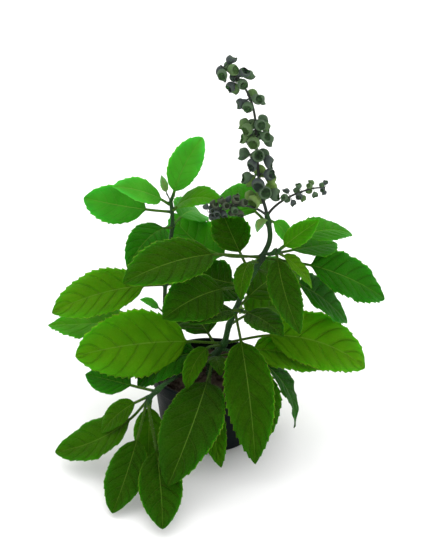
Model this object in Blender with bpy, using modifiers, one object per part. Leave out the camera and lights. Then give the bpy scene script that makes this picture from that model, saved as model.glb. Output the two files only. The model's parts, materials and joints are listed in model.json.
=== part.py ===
"""Potted holy basil: a plastic pot of soil with a bushy flowering plant in it.

Metres, +Z up. The origin is the middle of the pot's base, on the surface it stands on.
+X is to the right and -Y is the front. Every stem, leaf and flower spike is a solid of its own.
"""

import math
from collections import namedtuple

import bmesh
import bpy
from mathutils import Vector

MM = 0.001
GAP = 0.3 * MM  # air between pieces that touch on the real plant

# ---- pot and soil ----
POT_HEIGHT = 37 * MM
POT_RIM_RADIUS = 30 * MM
POT_BASE_RADIUS = 25.5 * MM
POT_WALL = 1.0 * MM
POT_FLOOR = 1.4 * MM
RIM_BAND_HEIGHT = 6 * MM
RIM_BAND_STEP = 0.8 * MM
DRAIN_HOLES = 5
DRAIN_HOLE_RADIUS = 2.5 * MM
DRAIN_CIRCLE_RADIUS = 16 * MM
SOIL_BELOW_RIM = 6 * MM
SOIL_TOP = POT_HEIGHT - SOIL_BELOW_RIM
SOIL_MOUND = 1.2 * MM
ROOT_DEPTH = 13 * MM
POT_SIDES = 40

# ---- stems ----
MAIN_STEM_RADIUS = (1.7 * MM, 1.15 * MM)
LEFT_STEM_RADIUS = (1.3 * MM, 0.9 * MM)
LOW_STEM_RADIUS = (1.1 * MM, 0.9 * MM)
SHOOT_RADIUS = (0.8 * MM, 0.7 * MM)
STEM_SAMPLES = 3  # points on each span of a stem

# ---- leaves ----
LEAF_THICKNESS = 0.5 * MM
MIDRIB_DEPTH = 0.35 * MM
PETIOLE_RADIUS = 0.6 * MM
BLADE_SHOULDER = 0.65  # lower is a rounder base
BLADE_FOLD = 0.16  # how far the halves rise to a shallow V, as a share of their width
BLADE_STATIONS = (0.05, 0.15, 0.28, 0.43, 0.58, 0.72, 0.84, 0.94)

# ---- flower spikes ----
SPIKE_AXIS_RADIUS = (0.9 * MM, 0.45 * MM)
CUP_SIDES = 6
CUP_OUTLINE = ((0, 0.4), (3.6, 0.4), (5.6, 2.5), (9.2, 2.7))  # (out, radius), mm
CUP_BOTTOM = 8.0 * MM  # how far out the bottom of the cup's hollow is
CUP_TILTS = (0.35, -0.15)  # every second cup in a whorl points higher
WHORL_SHRINK = 0.3

POT_BLACK = (0.006, 0.012, 0.014)
SOIL_BROWN = (0.035, 0.022, 0.014)
STEM_GREEN = (0.035, 0.06, 0.04)
LEAF_GREEN = (0.04, 0.13, 0.012)
YOUNG_GREEN = (0.12, 0.26, 0.02)
CALYX_GREEN = (0.07, 0.10, 0.07)

# A stem's route runs through its nodes, in millimetres, with heights over the soil. A leaf's or
# a branch's node is a place on that route: 4 is its point 4, and 4.5 is half way on to point 5.
Stem = namedtuple("Stem", "name parent node radius route")
Leaf = namedtuple(
    "Leaf", "name stem node heading rise tip petiole blade width roll sway blunt", defaults=(0, 0, 0.9)
)
Spike = namedtuple("Spike", "name parent node whorls cups size route")

STEMS = (
    Stem(
        "main_stem", None, 0, MAIN_STEM_RADIUS,
        ((0, 0, -ROOT_DEPTH / MM), (0, 0, 0), (1, -1, 6), (3, -1, 13), (8, -2, 21),
         (10.5, -4, 33), (13.5, -6, 42), (18.5, -5, 55), (26.5, -2, 70), (30.5, 0, 80),
         (28.5, 2, 93)),
    ),
    Stem(
        "left_stem", "main_stem", 2, LEFT_STEM_RADIUS,
        ((-6, 4, 9), (-15, 8, 15), (-22, 12, 28), (-22.5, 14, 45), (-20.5, 15, 63),
         (-18, 15, 79), (-18, 15, 88), (-18.5, 15, 93)),
    ),
    Stem(
        "low_left_branch", "main_stem", 2.5, LOW_STEM_RADIUS,
        ((-10, -11, 11), (-21, -23, 10.5), (-30, -33, 7)),
    ),
    Stem("base_right_shoot", "main_stem", 3.6, SHOOT_RADIUS, ((13, -8, 20), (17, -10, 21))),
    Stem("front_shoot", "main_stem", 6.2, SHOOT_RADIUS, ((15.5, -11, 45), (16.5, -14, 47))),
    Stem("right_shoot", "main_stem", 8.2, SHOOT_RADIUS, ((31, -6, 74), (34, -8, 76.5))),
)

# heading: 0 is right, 90 back, 180 left, 270 front. rise and tip: degrees above level at the
# stem and at the leaf's tip. Lengths are millimetres. roll turns the blade about its length.
# A leaf that hangs over the pot's rim has a longer and steeper stalk the wider the rim is.
RIM = POT_RIM_RADIUS / MM
LEAVES = (
    # the main stem, from its foot up
    Leaf("foot_leaf_left", "main_stem", 3.0, 202, 28, -58, RIM - 22, 38, 24, -15),
    Leaf("foot_leaf_small", "main_stem", 2.7, 280, 45, -30, 6, 18, 9),
    Leaf("foot_leaf_front_large", "main_stem", 2.6, 265, RIM / 2 - 10, -45, 18, 59, 30, 0, -14, 0.75),
    Leaf("foot_leaf_front_small", "main_stem", 2.1, 266, RIM - 7, -86, RIM - 2, 36, 13, 0, 9),
    Leaf("foot_leaf_right", "main_stem", 2.8, 356, 25, -38, 18, 39, 22, 25),
    Leaf("foot_leaf_back", "main_stem", 3.4, 118, 30, -25, 10, 36, 24, -15),
    Leaf("first_leaf_left", "main_stem", 4.0, 186, 10, -15, 17, 58, 35, -50, 0, 0.75),
    Leaf("first_leaf_right", "main_stem", 4.0, 0, 20, -45, 21, 56, 31, 38, 0, 0.8),
    Leaf("first_leaf_narrow", "main_stem", 3.8, 236, 40, -80, 13, 25, 10, -25),
    Leaf("first_leaf_back", "main_stem", 5.0, 42, 10, -30, 10, 40, 25, 28),
    Leaf("second_leaf_front", "main_stem", 6.0, 282, -30, -75, 14, 62, 25),
    Leaf("second_leaf_back", "main_stem", 6.0, 52, 20, -15, 9, 46, 28, 25),
    Leaf("inner_leaf_front_left", "main_stem", 7.0, 223, 22, -18, 15, 38, 25, -40),
    Leaf("inner_leaf_back_left", "main_stem", 7.1, 140, -15, 5, 8, 29, 22, -35),
    Leaf("third_leaf_left", "main_stem", 8.0, 213, 25, -15, 28, 49, 25, -28, 0, 0.8),
    Leaf("third_leaf_right", "main_stem", 8.0, 12, -10, -40, 24, 48, 27, 34, 0, 0.8),
    Leaf("third_leaf_under_right", "main_stem", 7.6, 17, -20, -55, 24, 40, 27, 25),
    Leaf("third_leaf_young", "main_stem", 7.8, 244, 45, -85, 11, 22, 9, 0, 3),
    Leaf("top_leaf_back_left", "main_stem", 8.1, 155, -20, 25, 20, 43, 27, -25, -25),
    Leaf("top_leaf_back", "main_stem", 7.4, 116, 28, 38, 13, 29, 20, -15),
    Leaf("bract_left", "main_stem", 9.6, 245, 45, -60, 4, 10, 5),
    Leaf("bract_right", "main_stem", 9.7, 352, -20, -95, 1, 14, 8, 50),
    Leaf("bract_back", "main_stem", 9.5, 125, 20, -25, 9, 34, 22, -38),
    # the left stem, from its foot up
    Leaf("left_low_leaf_front", "left_stem", 4.1, 182, 0, -30, 9, 52, 27, -35, 0, 0.8),
    Leaf("left_low_leaf_back", "left_stem", 3.0, 163, -15, -10, 21, 49, 25, -15),
    Leaf("left_low_leaf_small", "left_stem", 3.1, 200, 55, 20, 3, 12, 6, -30),
    Leaf("left_low_leaf_inner", "left_stem", 4.1, 12, 5, -40, 13, 31, 21, 25),
    Leaf("left_mid_leaf_front", "left_stem", 6.0, 240, 20, -40, 6, 35, 17, -25),
    Leaf("left_mid_leaf_back", "left_stem", 6.0, 70, 10, -40, 9, 34, 21, 30),
    Leaf("left_top_leaf_left", "left_stem", 6.9, 158, -5, 5, 13, 36, 22, -45, 0, 0.75),
    Leaf("left_top_leaf_right", "left_stem", 6.9, 322, 50, -10, 3, 31, 14, 30),
    Leaf("left_bud_leaf_folded", "left_stem", 7.5, 215, 40, 15, 5, 30, 14, -45),
    Leaf("left_bud_leaf_upright", "left_stem", 7.7, 10, 75, 50, 2, 31, 16, 65, 0, 0.65),
    Leaf("left_bud_leaf_young", "left_stem", 7.0, 170, 75, 75, 1, 9, 4, -60),
    # the low branch that hangs over the pot's front left
    Leaf("low_leaf_left", "low_left_branch", 2.9, 186, -55, -5, 13, 43, 24, -18, 0, 0.75),
    Leaf("low_leaf_left_small", "low_left_branch", 2.7, 188, -20, -58, 7, 24, 13, -30),
    Leaf("low_leaf_middle", "low_left_branch", 2.8, 265, -50, -90, 3, 29, 15),
    Leaf("low_leaf_front_left", "low_left_branch", 3.0, 251, -50, -25, 17, 38, 20, 0, 0, 0.75),
    Leaf("low_leaf_front_right", "low_left_branch", 3.0, 288, -40, -20, 24, 40, 21, 0, -8, 0.75),
    Leaf("low_leaf_back", "low_left_branch", 2.5, 150, -5, -5, 14, 29, 17, -30),
    # short shoots in the leaf axils
    Leaf("base_shoot_leaf_inner", "base_right_shoot", 1.6, 301, 3 * RIM - 118, -85, 2 * RIM - 53, 40, 23, 8),
    Leaf("base_shoot_leaf_outer", "base_right_shoot", 2.0, 352, -22, -95, 11, 42, 20, 0, -2),
    Leaf("front_shoot_leaf_left", "front_shoot", 1.9, 226, 25, -5, 5, 30, 14, -20),
    Leaf("front_shoot_leaf_right", "front_shoot", 1.9, 303, 15, -10, 2, 30, 15, 15),
    Leaf("right_shoot_leaf_back", "right_shoot", 1.7, 37, 20, -32, 14, 38, 20, 15),
    Leaf("right_shoot_leaf_mid", "right_shoot", 1.2, 42, -10, -12, 13, 34, 21, 15),
    Leaf("right_shoot_leaf_young", "right_shoot", 2.0, 7, 40, 35, 1, 21, 11, 50),
    Leaf("right_shoot_leaf_low", "right_shoot", 1.8, 5, -32, -67, 3, 24, 12, 20),
    Leaf("right_shoot_leaf_front", "right_shoot", 1.8, 277, -38, -25, 3, 42, 16, 0, 5),
)
YOUNG_LEAVES = ("third_leaf_young", "right_shoot_leaf_young", "right_shoot_leaf_low",
                "left_bud_leaf_folded", "left_bud_leaf_young", "bract_left", "bract_right")

# Whorls are places on the spike's own route, from its foot up. cups: seed cups in each whorl.
SPIKES = (
    Spike(
        "middle_spike", "main_stem", 10, (0.9, 1.4, 1.9, 2.4, 2.8, 3.8, 5.1, 6.3), 6, 1.0,
        ((25.5, 3, 104), (23.5, 5, 123), (22.5, 7, 140), (19.5, 8, 149), (15, 8, 156.5),
         (9, 8, 161), (6, 8, 163.5)),
    ),
    Spike(
        "left_spike", "main_stem", 9.9, (2.0, 2.4, 3.0, 3.6, 4.0), 5, 0.6,
        ((22, -4, 97), (14, -8, 100.5), (7, -11, 100.5), (1, -12, 98.5)),
    ),
    Spike(
        "right_spike", "main_stem", 9.9, (1.3, 2.1, 3.1, 3.9), 4, 0.55,
        ((37.5, 2, 99.5), (44.5, 2, 103), (50, 2, 105), (57, 2, 105.5)),
    ),
)


def clear_scene():
    for thing in list(bpy.data.objects):
        bpy.data.objects.remove(thing, do_unlink=True)


def collection(name):
    group = bpy.data.collections.new(name)
    bpy.context.scene.collection.children.link(group)
    return group


def material(name, colour, roughness):
    """A plain Principled material of one colour."""
    finish = bpy.data.materials.new(name)
    finish.use_nodes = True
    shader = finish.node_tree.nodes["Principled BSDF"]
    shader.inputs["Base Color"].default_value = (*colour, 1)
    shader.inputs["Roughness"].default_value = roughness
    shader.inputs["Metallic"].default_value = 0
    finish.diffuse_color = (*colour, 1)
    return finish


def place(name, mesh, group, finish):
    part = bpy.data.objects.new(name, mesh)
    mesh.materials.clear()
    mesh.materials.append(finish)
    group.objects.link(part)
    return part


def mesh_of(name, build):
    """A mesh whose faces the function build makes in a bmesh."""
    shape = bmesh.new()
    build(shape)
    bmesh.ops.recalc_face_normals(shape, faces=shape.faces[:])
    mesh = bpy.data.meshes.new(name)
    shape.to_mesh(mesh)
    shape.free()
    return mesh


def cut_with(part, tool, operation="DIFFERENCE"):
    boolean = part.modifiers.new(tool.name, "BOOLEAN")
    boolean.operation = operation
    boolean.object = tool
    boolean.use_self = operation == "UNION"
    tool.hide_render = True
    tool.display_type = "WIRE"


# ---- pot and soil ----
def turned(name, profile, group, finish):
    """A solid turned about Z from a profile of (radius, height) points."""
    mesh = bpy.data.meshes.new(name)
    points = [(radius, 0, height) for radius, height in profile]
    mesh.from_pydata(points, [(i, i + 1) for i in range(len(points) - 1)], [])
    part = place(name, mesh, group, finish)
    screw = part.modifiers.new("turn", "SCREW")
    screw.steps = screw.render_steps = POT_SIDES
    screw.use_merge_vertices = True
    screw.merge_threshold = 0.01 * MM
    return part


def pot_outer_radius(height):
    """The pot's outer radius under the rim band: a plain taper."""
    top = POT_RIM_RADIUS - RIM_BAND_STEP
    return POT_BASE_RADIUS + (top - POT_BASE_RADIUS) * height / POT_HEIGHT


def pot_inner_radius(height):
    return pot_outer_radius(height) - POT_WALL


def make_pot(parts, cutters):
    black = material("black_plastic", POT_BLACK, 0.45)
    band_foot = POT_HEIGHT - RIM_BAND_HEIGHT
    foot_round = 1 * MM
    profile = (
        (0, POT_FLOOR),
        (pot_inner_radius(POT_FLOOR), POT_FLOOR),
        (pot_inner_radius(POT_HEIGHT), POT_HEIGHT),
        (POT_RIM_RADIUS, POT_HEIGHT),
        (POT_RIM_RADIUS, band_foot),
        (pot_outer_radius(band_foot), band_foot),
        (pot_outer_radius(foot_round), foot_round),
        (POT_BASE_RADIUS - foot_round, 0),
        (0, 0),
    )
    pot = turned("pot", profile, parts, black)
    for hole in range(DRAIN_HOLES):
        angle = 2 * math.pi * hole / DRAIN_HOLES
        drill = mesh_of("drain_hole", drill_shape)
        tool = place(f"drain_hole_{hole}", drill, cutters, black)
        tool.location = (
            DRAIN_CIRCLE_RADIUS * math.cos(angle),
            DRAIN_CIRCLE_RADIUS * math.sin(angle),
            POT_FLOOR / 2,
        )
        cut_with(pot, tool)
    return pot


def drill_shape(shape):
    bmesh.ops.create_cone(
        shape, cap_ends=True, segments=16,
        radius1=DRAIN_HOLE_RADIUS, radius2=DRAIN_HOLE_RADIUS, depth=3 * POT_FLOOR,
    )


def make_soil(parts):
    """The soil fills the pot to below its rim, with a blind hole for the root."""
    brown = material("potting_soil", SOIL_BROWN, 0.95)
    bottom = POT_FLOOR + GAP
    hole = MAIN_STEM_RADIUS[0] + GAP
    hole_floor = SOIL_TOP - ROOT_DEPTH - GAP
    inner = pot_inner_radius(SOIL_TOP) - GAP
    mound = []
    for share in (0, 1 / 3, 2 / 3, 1):
        mound.append((hole + (inner - hole) * share, SOIL_TOP + SOIL_MOUND * (1 - share ** 2)))
    profile = [(0, hole_floor), (hole, hole_floor)] + mound
    profile += [(pot_inner_radius(bottom) - GAP, bottom), (0, bottom)]
    return turned("soil", profile, parts, brown)


# ---- stems ----
def route_points(plan):
    """The points of a stem's or spike's route, in metres over the surface it stands on."""
    return [Vector(point) * MM + Vector((0, 0, SOIL_TOP)) for point in plan.route]


def smooth_route(points):
    """Points along a Catmull-Rom curve through the given ones."""
    first = points[0] * 2 - points[1]
    last = points[-1] * 2 - points[-2]
    knots = [first] + points + [last]
    line = []
    for i in range(1, len(knots) - 2):
        for k in range(STEM_SAMPLES):
            line.append(catmull_rom(knots[i - 1:i + 3], k / STEM_SAMPLES))
    line.append(points[-1])
    return line


def catmull_rom(knots, t):
    before, start, end, after = knots
    return 0.5 * (
        2 * start
        + (end - before) * t
        + (2 * before - 5 * start + 4 * end - after) * t ** 2
        + (3 * (start - end) + after - before) * t ** 3
    )


def at_node(stem, node):
    """The stem's middle, direction and radius at a node."""
    line = stem["line"]
    place_on = min(node * STEM_SAMPLES, len(line) - 1)
    index = min(int(place_on), len(line) - 2)
    share = place_on - index
    middle = line[index].lerp(line[index + 1], share)
    direction = (line[index + 1] - line[index]).normalized()
    thick, thin = stem["radius"]
    radius = thick + (thin - thick) * place_on / (len(line) - 1)
    return middle, direction, radius


def clear_of(stem, node, direction, radius):
    """How far out a round end starts, so that it clears the stem that it grows from."""
    _, along, stem_radius = at_node(stem, node)
    across = max(along.cross(direction).length, 0.2)
    return (stem_radius + GAP + radius * abs(along.dot(direction))) / across


def tube(name, line, radii, group, finish):
    """A capped tube along a line, tapering from one radius to the other."""
    curve = bpy.data.curves.new(name, "CURVE")
    curve.dimensions = "3D"
    curve.bevel_depth = 1.0
    curve.bevel_resolution = 2
    curve.use_fill_caps = True
    spline = curve.splines.new("POLY")
    spline.points.add(len(line) - 1)
    thick, thin = radii
    for i, middle in enumerate(line):
        spline.points[i].co = (*middle, 1)
        spline.points[i].radius = thick + (thin - thick) * i / (len(line) - 1)
    part = bpy.data.objects.new(name, curve)
    curve.materials.append(finish)
    group.objects.link(part)
    return part


def make_stem(plan, stems, group, finish):
    points = route_points(plan)
    if plan.parent:
        points.insert(0, branch_start(stems[plan.parent], plan.node, points[0], plan.radius[0]))
    line = smooth_route(points)
    stems[plan.name] = {"line": line, "radius": plan.radius}
    return tube(plan.name, line, plan.radius, group, finish)


def branch_start(parent, node, towards, radius):
    middle = at_node(parent, node)[0]
    direction = (towards - middle).normalized()
    return middle + direction * clear_of(parent, node, direction, radius)


# ---- leaves ----
def blade_half_width(plan, t):
    """Half the blade's width at t from its base (0) to its tip (1)."""
    widest = BLADE_SHOULDER / (BLADE_SHOULDER + plan.blunt)
    full = widest ** BLADE_SHOULDER * (1 - widest) ** plan.blunt
    return plan.width * MM / 2 * t ** BLADE_SHOULDER * (1 - t) ** plan.blunt / full


def bend(plan, distance):
    """The leaf's middle line after a distance: its place, and the ways it goes up, left and along."""
    length = (plan.petiole + plan.blade) * MM
    start = math.radians(plan.rise)
    curl = math.radians(plan.tip - plan.rise) / length
    pitch = start + curl * distance
    out = math.cos(start) * distance
    height = math.sin(start) * distance
    if plan.tip != plan.rise:
        out = (math.sin(pitch) - math.sin(start)) / curl
        height = (math.cos(start) - math.cos(pitch)) / curl
    sideways = plan.sway * MM * (distance / length) ** 2
    yaw = math.atan(2 * plan.sway * MM * distance / length ** 2)
    middle = Vector((out, sideways, height))
    left = Vector((-math.sin(yaw), math.cos(yaw), 0))
    up = Vector((-math.sin(pitch) * math.cos(yaw), -math.sin(pitch) * math.sin(yaw), math.cos(pitch)))
    roll = math.radians(plan.roll)
    side = left * math.cos(roll) + up * math.sin(roll)
    above = up * math.cos(roll) - left * math.sin(roll)
    return middle, side, above


def leaf_ring(plan, distance, half_width, thickness, top, keel):
    """Eight points round the blade: edge, three above, edge, three below."""
    middle, side, above = bend(plan, distance)
    section = (
        (1, 0), (0.55, thickness), (0, top), (-0.55, thickness),
        (-1, 0), (-0.55, -thickness), (0, -keel), (0.55, -thickness),
    )
    return [
        middle + side * half_width * across + above * (height + BLADE_FOLD * half_width * abs(across))
        for across, height in section
    ]


def petiole_ring(plan, distance, radius):
    """Eight points round the leaf stalk, in the same order."""
    middle, side, above = bend(plan, distance)
    ring = []
    for k in range(8):
        angle = math.pi / 4 * k
        ring.append(middle + side * radius * math.cos(angle) + above * radius * math.sin(angle))
    return ring


def leaf_shape(plan):
    """The function that builds one leaf: a round petiole that opens out into a thin blade."""
    petiole = plan.petiole * MM
    blade = plan.blade * MM
    stalk = min(PETIOLE_RADIUS, plan.width * MM * 0.06)

    def build(shape):
        rings = [petiole_ring(plan, 0, stalk), petiole_ring(plan, petiole, stalk)]
        for t in BLADE_STATIONS:
            taper = 1 - t
            half_width = blade_half_width(plan, t)
            thickness = LEAF_THICKNESS / 2 * (0.6 + 0.4 * taper)
            keel = LEAF_THICKNESS / 2 + MIDRIB_DEPTH * taper
            top = LEAF_THICKNESS / 3
            rings.append(leaf_ring(plan, petiole + blade * t, half_width, thickness, top, keel))
        tip = shape.verts.new(bend(plan, petiole + blade)[0])
        loft(shape, rings, tip)

    return build


def loft(shape, rings, tip):
    """Skins a row of rings from a flat cap to a single tip point."""
    loops = [[shape.verts.new(point) for point in ring] for ring in rings]
    count = len(loops[0])
    for lower, upper in zip(loops, loops[1:]):
        for k in range(count):
            n = (k + 1) % count
            shape.faces.new((lower[k], lower[n], upper[n], upper[k]))
    for k in range(count):
        shape.faces.new((loops[-1][k], loops[-1][(k + 1) % count], tip))
    shape.faces.new(loops[0][::-1])


def make_leaf(plan, stems, group, finish):
    stem = stems[plan.stem]
    heading = math.radians(plan.heading)
    rise = math.radians(plan.rise)
    direction = Vector(
        (math.cos(heading) * math.cos(rise), math.sin(heading) * math.cos(rise), math.sin(rise))
    )
    middle = at_node(stem, plan.node)[0]
    leaf = place(plan.name, mesh_of(plan.name, leaf_shape(plan)), group, finish)
    leaf.location = middle + direction * clear_of(stem, plan.node, direction, PETIOLE_RADIUS)
    leaf.rotation_euler = (0, 0, heading)
    leaf.data.shade_smooth()
    return leaf


# ---- flower spikes ----
def seed_cup(shape, root, outward, size):
    """One seed cup on its thin stalk, from inside the spike's axis outwards."""
    side = outward.orthogonal().normalized()
    other = outward.cross(side)
    rings = []
    for distance, radius in CUP_OUTLINE:
        ring = []
        for k in range(CUP_SIDES):
            angle = 2 * math.pi * k / CUP_SIDES
            spoke = side * math.cos(angle) + other * math.sin(angle)
            ring.append(root + (outward * distance + spoke * radius) * MM * size)
        rings.append(ring)
    bottom = shape.verts.new(root + outward * CUP_BOTTOM * size)
    loft(shape, rings, bottom)


def make_spike(plan, stems, parts, cutters, finish):
    """A spike's axis with whorls of seed cups, joined into one solid."""
    points = route_points(plan)
    radii = [radius * (0.5 + 0.5 * plan.size) for radius in SPIKE_AXIS_RADIUS]
    parent = stems[plan.parent]
    tip, along, _ = at_node(parent, plan.node)
    if tip == parent["line"][-1]:
        start = tip + along * GAP
    else:
        start = branch_start(parent, plan.node, points[0], radii[0])
    line = smooth_route([start] + points)
    curve = tube(plan.name + "_axis", line, radii, parts, finish)
    axis = meshed(curve, plan.name, parts, finish)
    spike = {"line": line, "radius": radii}
    cups = mesh_of(plan.name + "_cups", whorls_shape(plan, spike))
    cut_with(axis, place(plan.name + "_cups", cups, cutters, finish), "UNION")
    return axis


def whorls_shape(plan, spike):
    """The function that builds all of a spike's seed cups: rings of them, smaller upwards."""

    def build(shape):
        for number, node in enumerate(plan.whorls):
            middle, along, _ = at_node(spike, node)
            size = plan.size * (1 - WHORL_SHRINK * number / len(plan.whorls))
            side = along.orthogonal().normalized()
            other = along.cross(side)
            for k in range(plan.cups):
                angle = 2 * math.pi * (k + number % 2 / 2) / plan.cups
                spoke = side * math.cos(angle) + other * math.sin(angle)
                tilt = CUP_TILTS[k % 2]
                seed_cup(shape, middle, (spoke + along * tilt).normalized(), size)

    return build


def meshed(curve_object, name, group, finish):
    """A curve turned into a welded mesh object, ready for a Boolean."""
    bpy.context.view_layer.update()
    seen = curve_object.evaluated_get(bpy.context.evaluated_depsgraph_get())
    mesh = bpy.data.meshes.new_from_object(seen)
    shape = bmesh.new()
    shape.from_mesh(mesh)
    bmesh.ops.remove_doubles(shape, verts=shape.verts[:], dist=0.01 * MM)
    shape.to_mesh(mesh)
    shape.free()
    part = place(name, mesh, group, finish)
    part.matrix_world = curve_object.matrix_world
    bpy.data.objects.remove(curve_object, do_unlink=True)
    return part


def main():
    clear_scene()
    parts = collection("potted_holy_basil")
    cutters = collection("cutters")
    make_pot(parts, cutters)
    make_soil(parts)
    stem_green = material("stem_green", STEM_GREEN, 0.6)
    leaf_green = material("leaf_green", LEAF_GREEN, 0.5)
    young_green = material("young_leaf_green", YOUNG_GREEN, 0.5)
    calyx_green = material("calyx_green", CALYX_GREEN, 0.7)
    stems = {}
    for plan in STEMS:
        make_stem(plan, stems, parts, stem_green)
    for plan in LEAVES:
        finish = young_green if plan.name in YOUNG_LEAVES else leaf_green
        make_leaf(plan, stems, parts, finish)
    for plan in SPIKES:
        make_spike(plan, stems, parts, cutters, calyx_green)


main()
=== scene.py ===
# %% [markdown]
# # A potted holy basil
# A holy basil grows from one woody foot. Its leaves stand in opposite pairs on thin, square,
# hairy stems, and each stem ends in a spike with rings of small seed cups. The solid model
# already says where every stem, leaf and spike is. This script keeps those places and sizes,
# and builds over each solid the piece that the eye expects.

# %% Load the solid model as a fixed frame
import json
import math

import bmesh
import bpy
import numpy as np
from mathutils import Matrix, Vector


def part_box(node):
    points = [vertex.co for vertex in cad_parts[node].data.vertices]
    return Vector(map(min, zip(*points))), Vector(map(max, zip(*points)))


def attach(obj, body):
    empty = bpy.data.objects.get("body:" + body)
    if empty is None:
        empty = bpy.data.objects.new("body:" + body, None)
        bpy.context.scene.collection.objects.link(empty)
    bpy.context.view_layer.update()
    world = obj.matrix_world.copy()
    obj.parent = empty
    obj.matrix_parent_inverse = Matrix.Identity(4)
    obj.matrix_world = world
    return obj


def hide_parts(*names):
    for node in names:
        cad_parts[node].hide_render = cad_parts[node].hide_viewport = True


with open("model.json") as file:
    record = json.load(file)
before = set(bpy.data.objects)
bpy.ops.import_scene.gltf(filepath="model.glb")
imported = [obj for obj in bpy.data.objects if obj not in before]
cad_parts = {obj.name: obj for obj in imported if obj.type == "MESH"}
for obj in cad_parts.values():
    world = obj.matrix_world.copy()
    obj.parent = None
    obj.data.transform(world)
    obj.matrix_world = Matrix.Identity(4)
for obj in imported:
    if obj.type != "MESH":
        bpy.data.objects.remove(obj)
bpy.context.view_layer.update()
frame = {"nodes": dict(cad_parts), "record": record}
MM = 0.001
slot_of = {row["node"]: row["material_slot"] for row in frame["record"]["subparts"]}
leaf_names = [name for name in slot_of if slot_of[name] in ("leaf", "young_leaf")]
stem_names = [name for name in slot_of if slot_of[name] == "stem"]
spike_names = [name for name in slot_of if slot_of[name] == "flower_spike"]
print(len(leaf_names), "leaves,", len(stem_names), "stems,", len(spike_names), "spikes")

# %% [markdown]
# ## Camera, light and floor
# The plant stands on a pale floor under soft light. A long lens from a little above keeps the
# sides of the plant nearly parallel. A wide lamp behind and above lights the leaves through, as
# daylight does, and a weak one in front lifts the shadows. A lamp straight at the plant would be
# simpler, but leaves lit from behind glow, and that glow is most of what a basil looks like.

# %% Make the camera
AIM = Vector((0.00775, 0, 0.088))
CAMERA_DISTANCE = 0.5
CAMERA_HEIGHT_ANGLE = math.radians(27)
LENS = 64.4
SENSOR_WIDTH = 36

camera = bpy.data.objects.new("camera", bpy.data.cameras.new("camera"))
bpy.context.scene.collection.objects.link(camera)
camera.data.lens = LENS
camera.data.sensor_width = SENSOR_WIDTH
camera.data.clip_start = 0.01
back = Vector((0, -math.cos(CAMERA_HEIGHT_ANGLE), math.sin(CAMERA_HEIGHT_ANGLE)))
camera.location = AIM + back * CAMERA_DISTANCE
camera.rotation_mode = "QUATERNION"
camera.rotation_quaternion = (-back).to_track_quat("-Z", "Y")
bpy.context.scene.camera = camera
print("camera:", CAMERA_DISTANCE, "m from the plant, with a lens of", LENS, "mm")

# %% Make the lamps and the sky
PLANT_MIDDLE = (0, 0, 0.1)
SKY_STRENGTH = 1.15


def lamp(name, place, target, size, power, colour):
    """A square soft lamp at one place that faces another."""
    light = bpy.data.lights.new(name, "AREA")
    light.size = size
    light.energy = power
    light.color = colour
    holder = bpy.data.objects.new(name, light)
    bpy.context.scene.collection.objects.link(holder)
    holder.location = place
    holder.rotation_mode = "QUATERNION"
    holder.rotation_quaternion = (Vector(target) - Vector(place)).to_track_quat("-Z", "Y")
    return holder


lamp("back_lamp", (-0.3, 0.55, 1.15), PLANT_MIDDLE, size=1.8, power=11, colour=(1, 1, 0.97))
lamp("front_lamp", (0.5, -0.9, 0.8), PLANT_MIDDLE, size=1.4, power=4, colour=(1, 1, 1))

world = bpy.data.worlds.new("soft_sky")
world.use_nodes = True
sky = world.node_tree.nodes["Background"]
sky.inputs["Color"].default_value = (1, 1, 1, 1)
sky.inputs["Strength"].default_value = SKY_STRENGTH
bpy.context.scene.world = world
bpy.context.scene.view_settings.view_transform = "Standard"
print("lamps:", [light.name for light in bpy.data.lights])

# %% Lay the floor
FLOOR_SIZE = 12
half = FLOOR_SIZE / 2
floor_corners = [(-half, -half, 0), (half, -half, 0), (half, half, 0), (-half, half, 0)]
floor_mesh = bpy.data.meshes.new("floor")
floor_mesh.from_pydata(floor_corners, [], [(0, 1, 2, 3)])
floor = bpy.data.objects.new("floor", floor_mesh)
bpy.context.scene.collection.objects.link(floor)
print("floor:", FLOOR_SIZE, "m square")

# %% [markdown]
# ## Reading a solid back
# The model file stores each corner once for every face that meets there. Welding the corners
# gives one connected shape again. A leaf or a stem is a row of rings, so walking out from one
# end, one edge at a time, finds its rings in order. That gives its middle line and its edges
# without writing any of them down a second time.

# %% Walk along a solid, ring by ring
WELD_DISTANCE = 0.005 * MM


def welded(name):
    """A node's mesh with its doubled corners joined."""
    shape = bmesh.new()
    shape.from_mesh(frame["nodes"][name].data)
    bmesh.ops.remove_doubles(shape, verts=shape.verts[:], dist=WELD_DISTANCE)
    return shape


def rows_from(first):
    """Rows of corners, each row one edge farther from the first."""
    seen = set(first)
    rows = [list(first)]
    while rows[-1]:
        row = []
        for corner in rows[-1]:
            for edge in corner.link_edges:
                other = edge.other_vert(corner)
                if other not in seen:
                    seen.add(other)
                    row.append(other)
        rows.append(row)
    return rows[:-1]


def places(corners):
    return np.array([corner.co[:] for corner in corners])


# %% Sums with directions, lengths and curves
def unit(vectors):
    """The same directions at a length of one."""
    vectors = np.asarray(vectors, float)
    return vectors / np.maximum(np.linalg.norm(vectors, axis=-1, keepdims=True), 1e-12)


def curve_through(knots, values, where):
    """Values on a smooth curve through the given ones, at each place in where."""
    knots, values, where = np.asarray(knots), np.asarray(values), np.asarray(where, float)
    slopes = np.gradient(values, knots, axis=0)
    i = np.clip(np.searchsorted(knots, where, side="right") - 1, 0, len(knots) - 2)
    step = (knots[i + 1] - knots[i])[:, None]
    t = (where - knots[i])[:, None] / step
    return (
        (2 * t**3 - 3 * t**2 + 1) * values[i]
        + (t**3 - 2 * t**2 + t) * step * slopes[i]
        + (3 * t**2 - 2 * t**3) * values[i + 1]
        + (t**3 - t**2) * step * slopes[i + 1]
    )


def lengths_along(points):
    """How far along the line each of its points is."""
    steps = np.linalg.norm(np.diff(points, axis=0), axis=1)
    return np.concatenate([[0], np.cumsum(steps)])


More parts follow.
